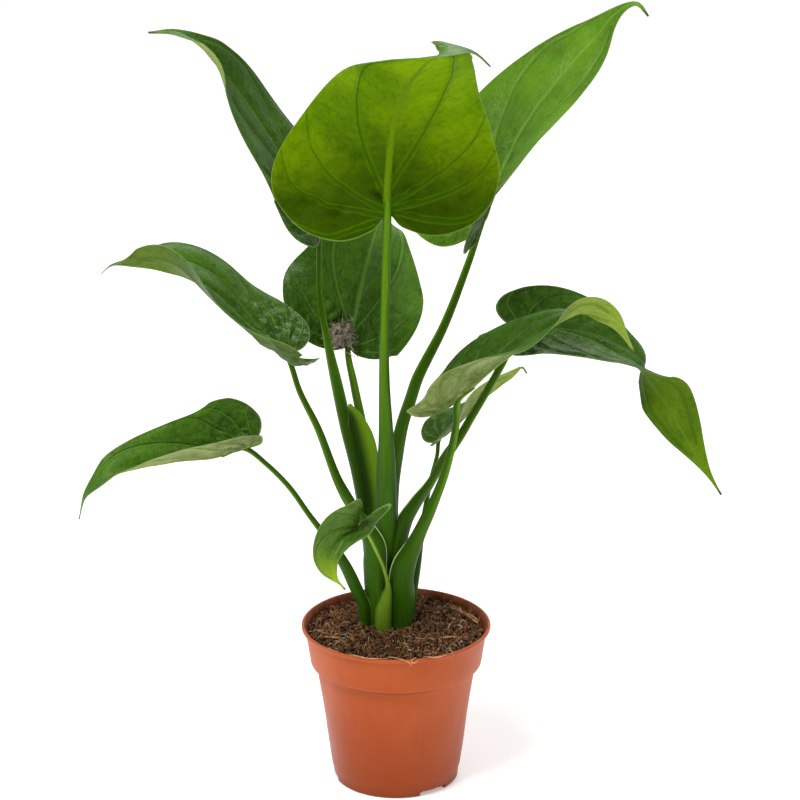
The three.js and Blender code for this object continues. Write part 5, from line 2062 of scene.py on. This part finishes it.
# painted backlight: the underside is drawn bright yellow-green with dark veins, as if light shone through it
LIT_UNDER = BladeFinish(
    "lit", LeafSide.UNDER, deep=(0.095, 0.21, 0.0), bright=(0.2, 0.345, 0.0), vein=(0.03, 0.1, 0.0),
    rib=(0.12, 0.22, 0.002), margin=(0.3, 0.44, 0.08), gloss=0.5, vein_share=0.75, shade=1.0, sheen=0.03,
    pucker=0.003, mottle=0.25, streak=0.0,
)
DIM_UNDER = BladeFinish(
    "dim", LeafSide.UNDER, deep=(0.055, 0.13, 0.001), bright=(0.12, 0.22, 0.002), vein=(0.03, 0.09, 0.001),
    rib=(0.13, 0.22, 0.008), margin=(0.26, 0.36, 0.08), gloss=0.5, shade=0.3, sheen=0.12,
    pucker=0.002, mottle=0.2,
)
PALE_UNDER = BladeFinish(
    "pale", LeafSide.UNDER, deep=(0.09, 0.15, 0.015), bright=(0.26, 0.33, 0.075), vein=(0.07, 0.14, 0.012),
    rib=(0.2, 0.3, 0.05), margin=(0.36, 0.44, 0.18), gloss=0.5, shade=0.3, sheen=0.15,
    pucker=0.006, mottle=0.3, ripe=0.5, streak=0.5,
)
ROLLED_UNDER = BladeFinish(
    "rolled", LeafSide.UNDER, deep=(0.05, 0.115, 0.005), bright=(0.12, 0.2, 0.02), vein=(0.04, 0.1, 0.006),
    rib=(0.2, 0.3, 0.05), margin=(0.32, 0.42, 0.14), gloss=0.5, vein_share=0.4, shade=0.3, sheen=0.15,
    pucker=0.004, mottle=0.3,
)
BLADE_SIDES = {
    "front": (DARK_UPPER, LIT_UNDER),
    "upper_right": (FRESH_UPPER, LIT_UNDER),
    "right_top": (DARK_UPPER, DIM_UNDER),
    "middle_left": (DARK_UPPER, ROLLED_UNDER),
    "small": (YOUNG_UPPER, PALE_UNDER),
}
GREEN_STALK = StalkFinish("green")
PALE_STALK = StalkFinish("pale", low=(0.16, 0.3, 0.015), high=(0.36, 0.5, 0.06))
BUD_STALK = StalkFinish("bud", low=(0.07, 0.2, 0.002), high=(0.14, 0.32, 0.002), lit=(0.13, 0.26, 0.004))
STALK_FINISHES = {"small": PALE_STALK, "bud": BUD_STALK}

# how far each sheath is hollowed at its stalk's stations, where the part's source leaves it solid
SHEATHS = {
    "middle_left": (0.7, 1.0, 1.15, 1.2, 1.1, 0.7, 0.2, 0, 0, 0, 0),
    "right_top": (0.7, 1.1, 1.35, 1.35, 1.2, 0.7, 0.1, 0, 0, 0, 0, 0),
    "right_middle": (0.7, 1.0, 1.1, 1.1, 0.9, 0.4, 0, 0, 0, 0, 0, 0),
    "low_left": (0.5, 0.8, 0.9, 0.7, 0.5, 0.1, 0, 0, 0, 0, 0),
    "right_low": (0.4, 0.3, 0.2, 0, 0, 0, 0, 0),
}


def build_plant() -> None:
    """Builds and dresses every leaf and stalk."""
    for leaf in LEAVES:
        run_out: tuple[float, ...] = ()
        if leaf.midrib:
            blade = Blade(leaf, *BLADE_SIDES.get(leaf.name, (DARK_UPPER, PALE_UNDER)))
            blade.build()
            run_out = blade.under_rib()
        Stalk(leaf, STALK_FINISHES.get(leaf.name, GREEN_STALK), SHEATHS.get(leaf.name, ()), run_out).build()


# strands that lie on the soil where they catch the eye
STRANDS = [
    Fibre(((33, 27, 102.5), (38, 21, 104.5), (44, 15, 103.5), (52, 5, 101.5)), 0.9),
    Fibre(((35, 24, 102), (42, 19, 103), (49, 14, 102.5), (53, 8, 101)), 0.6),
    Fibre(((27, -20, 101.5), (33, -21, 103), (40, -20, 102.5), (47, -17, 101)), 0.7),
    Fibre(((-52, -4, 101), (-48, -12, 103), (-41, -18, 103), (-32, -24, 101)), 0.5),
    Fibre(((-47, -17, 101.5), (-43, -21, 103), (-36, -22, 102.5), (-30, -27, 101)), 0.6),
]
# fibres that hang over the front of the rim
RIM_FIBRES = [
    Fibre(((-31, -45, 101), (-26, -53, 104.6), (-20, -57.8, 105), (-12, -59, 104.8), (-5, -58, 104.6)), 0.25),
    Fibre(((-6, -50, 101), (-3, -57, 105), (3, -60, 104.9), (8, -60.6, 103), (10, -60.2, 100.5)), 0.28),
    Fibre(((12, -52, 101.5), (12, -58, 105), (9, -60.8, 104), (11, -61, 102.2), (14, -60, 104.6)), 0.26),
    Fibre(((16, -50, 101.5), (19, -56, 104.8), (25, -56.5, 104.6), (31, -53, 104.6)), 0.22),
    Fibre(((-40, -38, 101.5), (-42, -42, 104.8), (-40, -45, 104.7), (-36, -48, 104.7)), 0.22),
    Fibre(((30, -40, 102), (33, -44, 105.5), (34, -48, 105.5), (36, -50, 103)), 0.2),
]


@dataclass(frozen=True)
class Debris:
    """Dry scraps that have fallen into the cup of the leaf at the back.

    cup_depth is how far back the cup lies at their middle, and cup_slopes are its slopes to the right and up.
    """

    middle: Point = (-35.0, 65.0, 275.0)
    cup_depth: float = 2.0
    cup_slopes: tuple[float, float] = (0.33, 0.25)
    count: int = 420
    spread: float = 3.9
    bend: float = 2.4
    sizes: tuple[float, float] = (0.12, 0.3)

    def fibres(self) -> list[Fibre]:
        """Draws the scraps at random, each of them in front of the cup.

        Returns:
            The scraps.
        """
        draw = random.Random("debris")
        drawn = []
        for _ in range(self.count):
            start, bend, end = (Vector([draw.gauss(0, wide) for _ in range(3)])
                                for wide in (self.spread, self.bend, self.spread))
            points = []
            for away in (start, 0.5 * (start + end) + bend, end):
                cup = self.cup_depth + self.cup_slopes[0] * away.x + self.cup_slopes[1] * away.z
                away.y = min(away.y, cup)
                points.append(tuple(Vector(self.middle) + away))
            drawn.append(Fibre(tuple(points), draw.uniform(*self.sizes)))
        return drawn


def build_pot_and_soil() -> None:
    """Builds the pot and what fills it."""
    pot = Pot(PotFinish())
    pot.build()
    soil = Soil()
    bed = EarthFinish("bed", dark=(0.004, 0.002, 0.001), light=(0.12, 0.045, 0.011), scale=260.0)
    crumb = EarthFinish("crumb", dark=(0.006, 0.003, 0.001), light=(0.24, 0.088, 0.018), scale=380.0)
    amber = EarthFinish("amber", dark=(0.09, 0.026, 0.004), light=(0.55, 0.23, 0.05), scale=420.0)
    moss = EarthFinish("moss", dark=(0.04, 0.045, 0.005), light=(0.2, 0.2, 0.03), scale=420.0)
    coir = EarthFinish("fibre", dark=(0.16, 0.055, 0.014), light=(0.5, 0.25, 0.08), scale=200.0)
    straw = EarthFinish("straw", dark=(0.4, 0.25, 0.11), light=(0.85, 0.66, 0.4), scale=200.0)
    bark = EarthFinish("bark", dark=(0.2, 0.085, 0.025), light=(0.62, 0.34, 0.14), scale=260.0)
    rim = EarthFinish("rim_fibre", dark=(0.45, 0.25, 0.12), light=(0.9, 0.62, 0.4), scale=200.0)
    scraps = EarthFinish("scraps", dark=(0.12, 0.075, 0.045), light=(0.72, 0.62, 0.5), scale=300.0)
    perlite = EarthFinish("perlite", dark=(0.55, 0.52, 0.46), light=(0.9, 0.88, 0.82), scale=500.0,
                          roughness=0.8)

    soil.build_bed(pot, bed)
    soil.build_crumbs("soil_crumbs", crumb, count=2600, sizes=(0.5, 2.2))
    soil.build_crumbs("bark_chips", amber, count=900, sizes=(0.4, 1.9), squash=0.5)
    soil.build_crumbs("moss_tufts", moss, count=160, sizes=(0.5, 1.6))
    soil.build_fibres("coir_fibres", coir, soil.scattered("coir", count=700, sizes=(0.1, 0.25)))
    soil.build_fibres("pale_fibres", straw, soil.scattered("pale", count=150, sizes=(0.08, 0.2)))
    soil.build_fibres("bark_strands", bark, STRANDS)
    soil.build_fibres("rim_fibres", rim, RIM_FIBRES, held=False)
    soil.build_fibres("debris_scraps", scraps, Debris().fibres(), held=False)
    soil.build_crumbs("perlite_grains", perlite, count=22, sizes=(0.6, 1.9), squash=0.85)


def main() -> None:
    """Builds the scene in order."""
    logging.basicConfig(level=logging.INFO, format="%(message)s")
    stage = Stage()
    stage.build_camera()
    stage.build()
    build_pot_and_soil()
    build_plant()


if __name__ == "__main__":
    main()
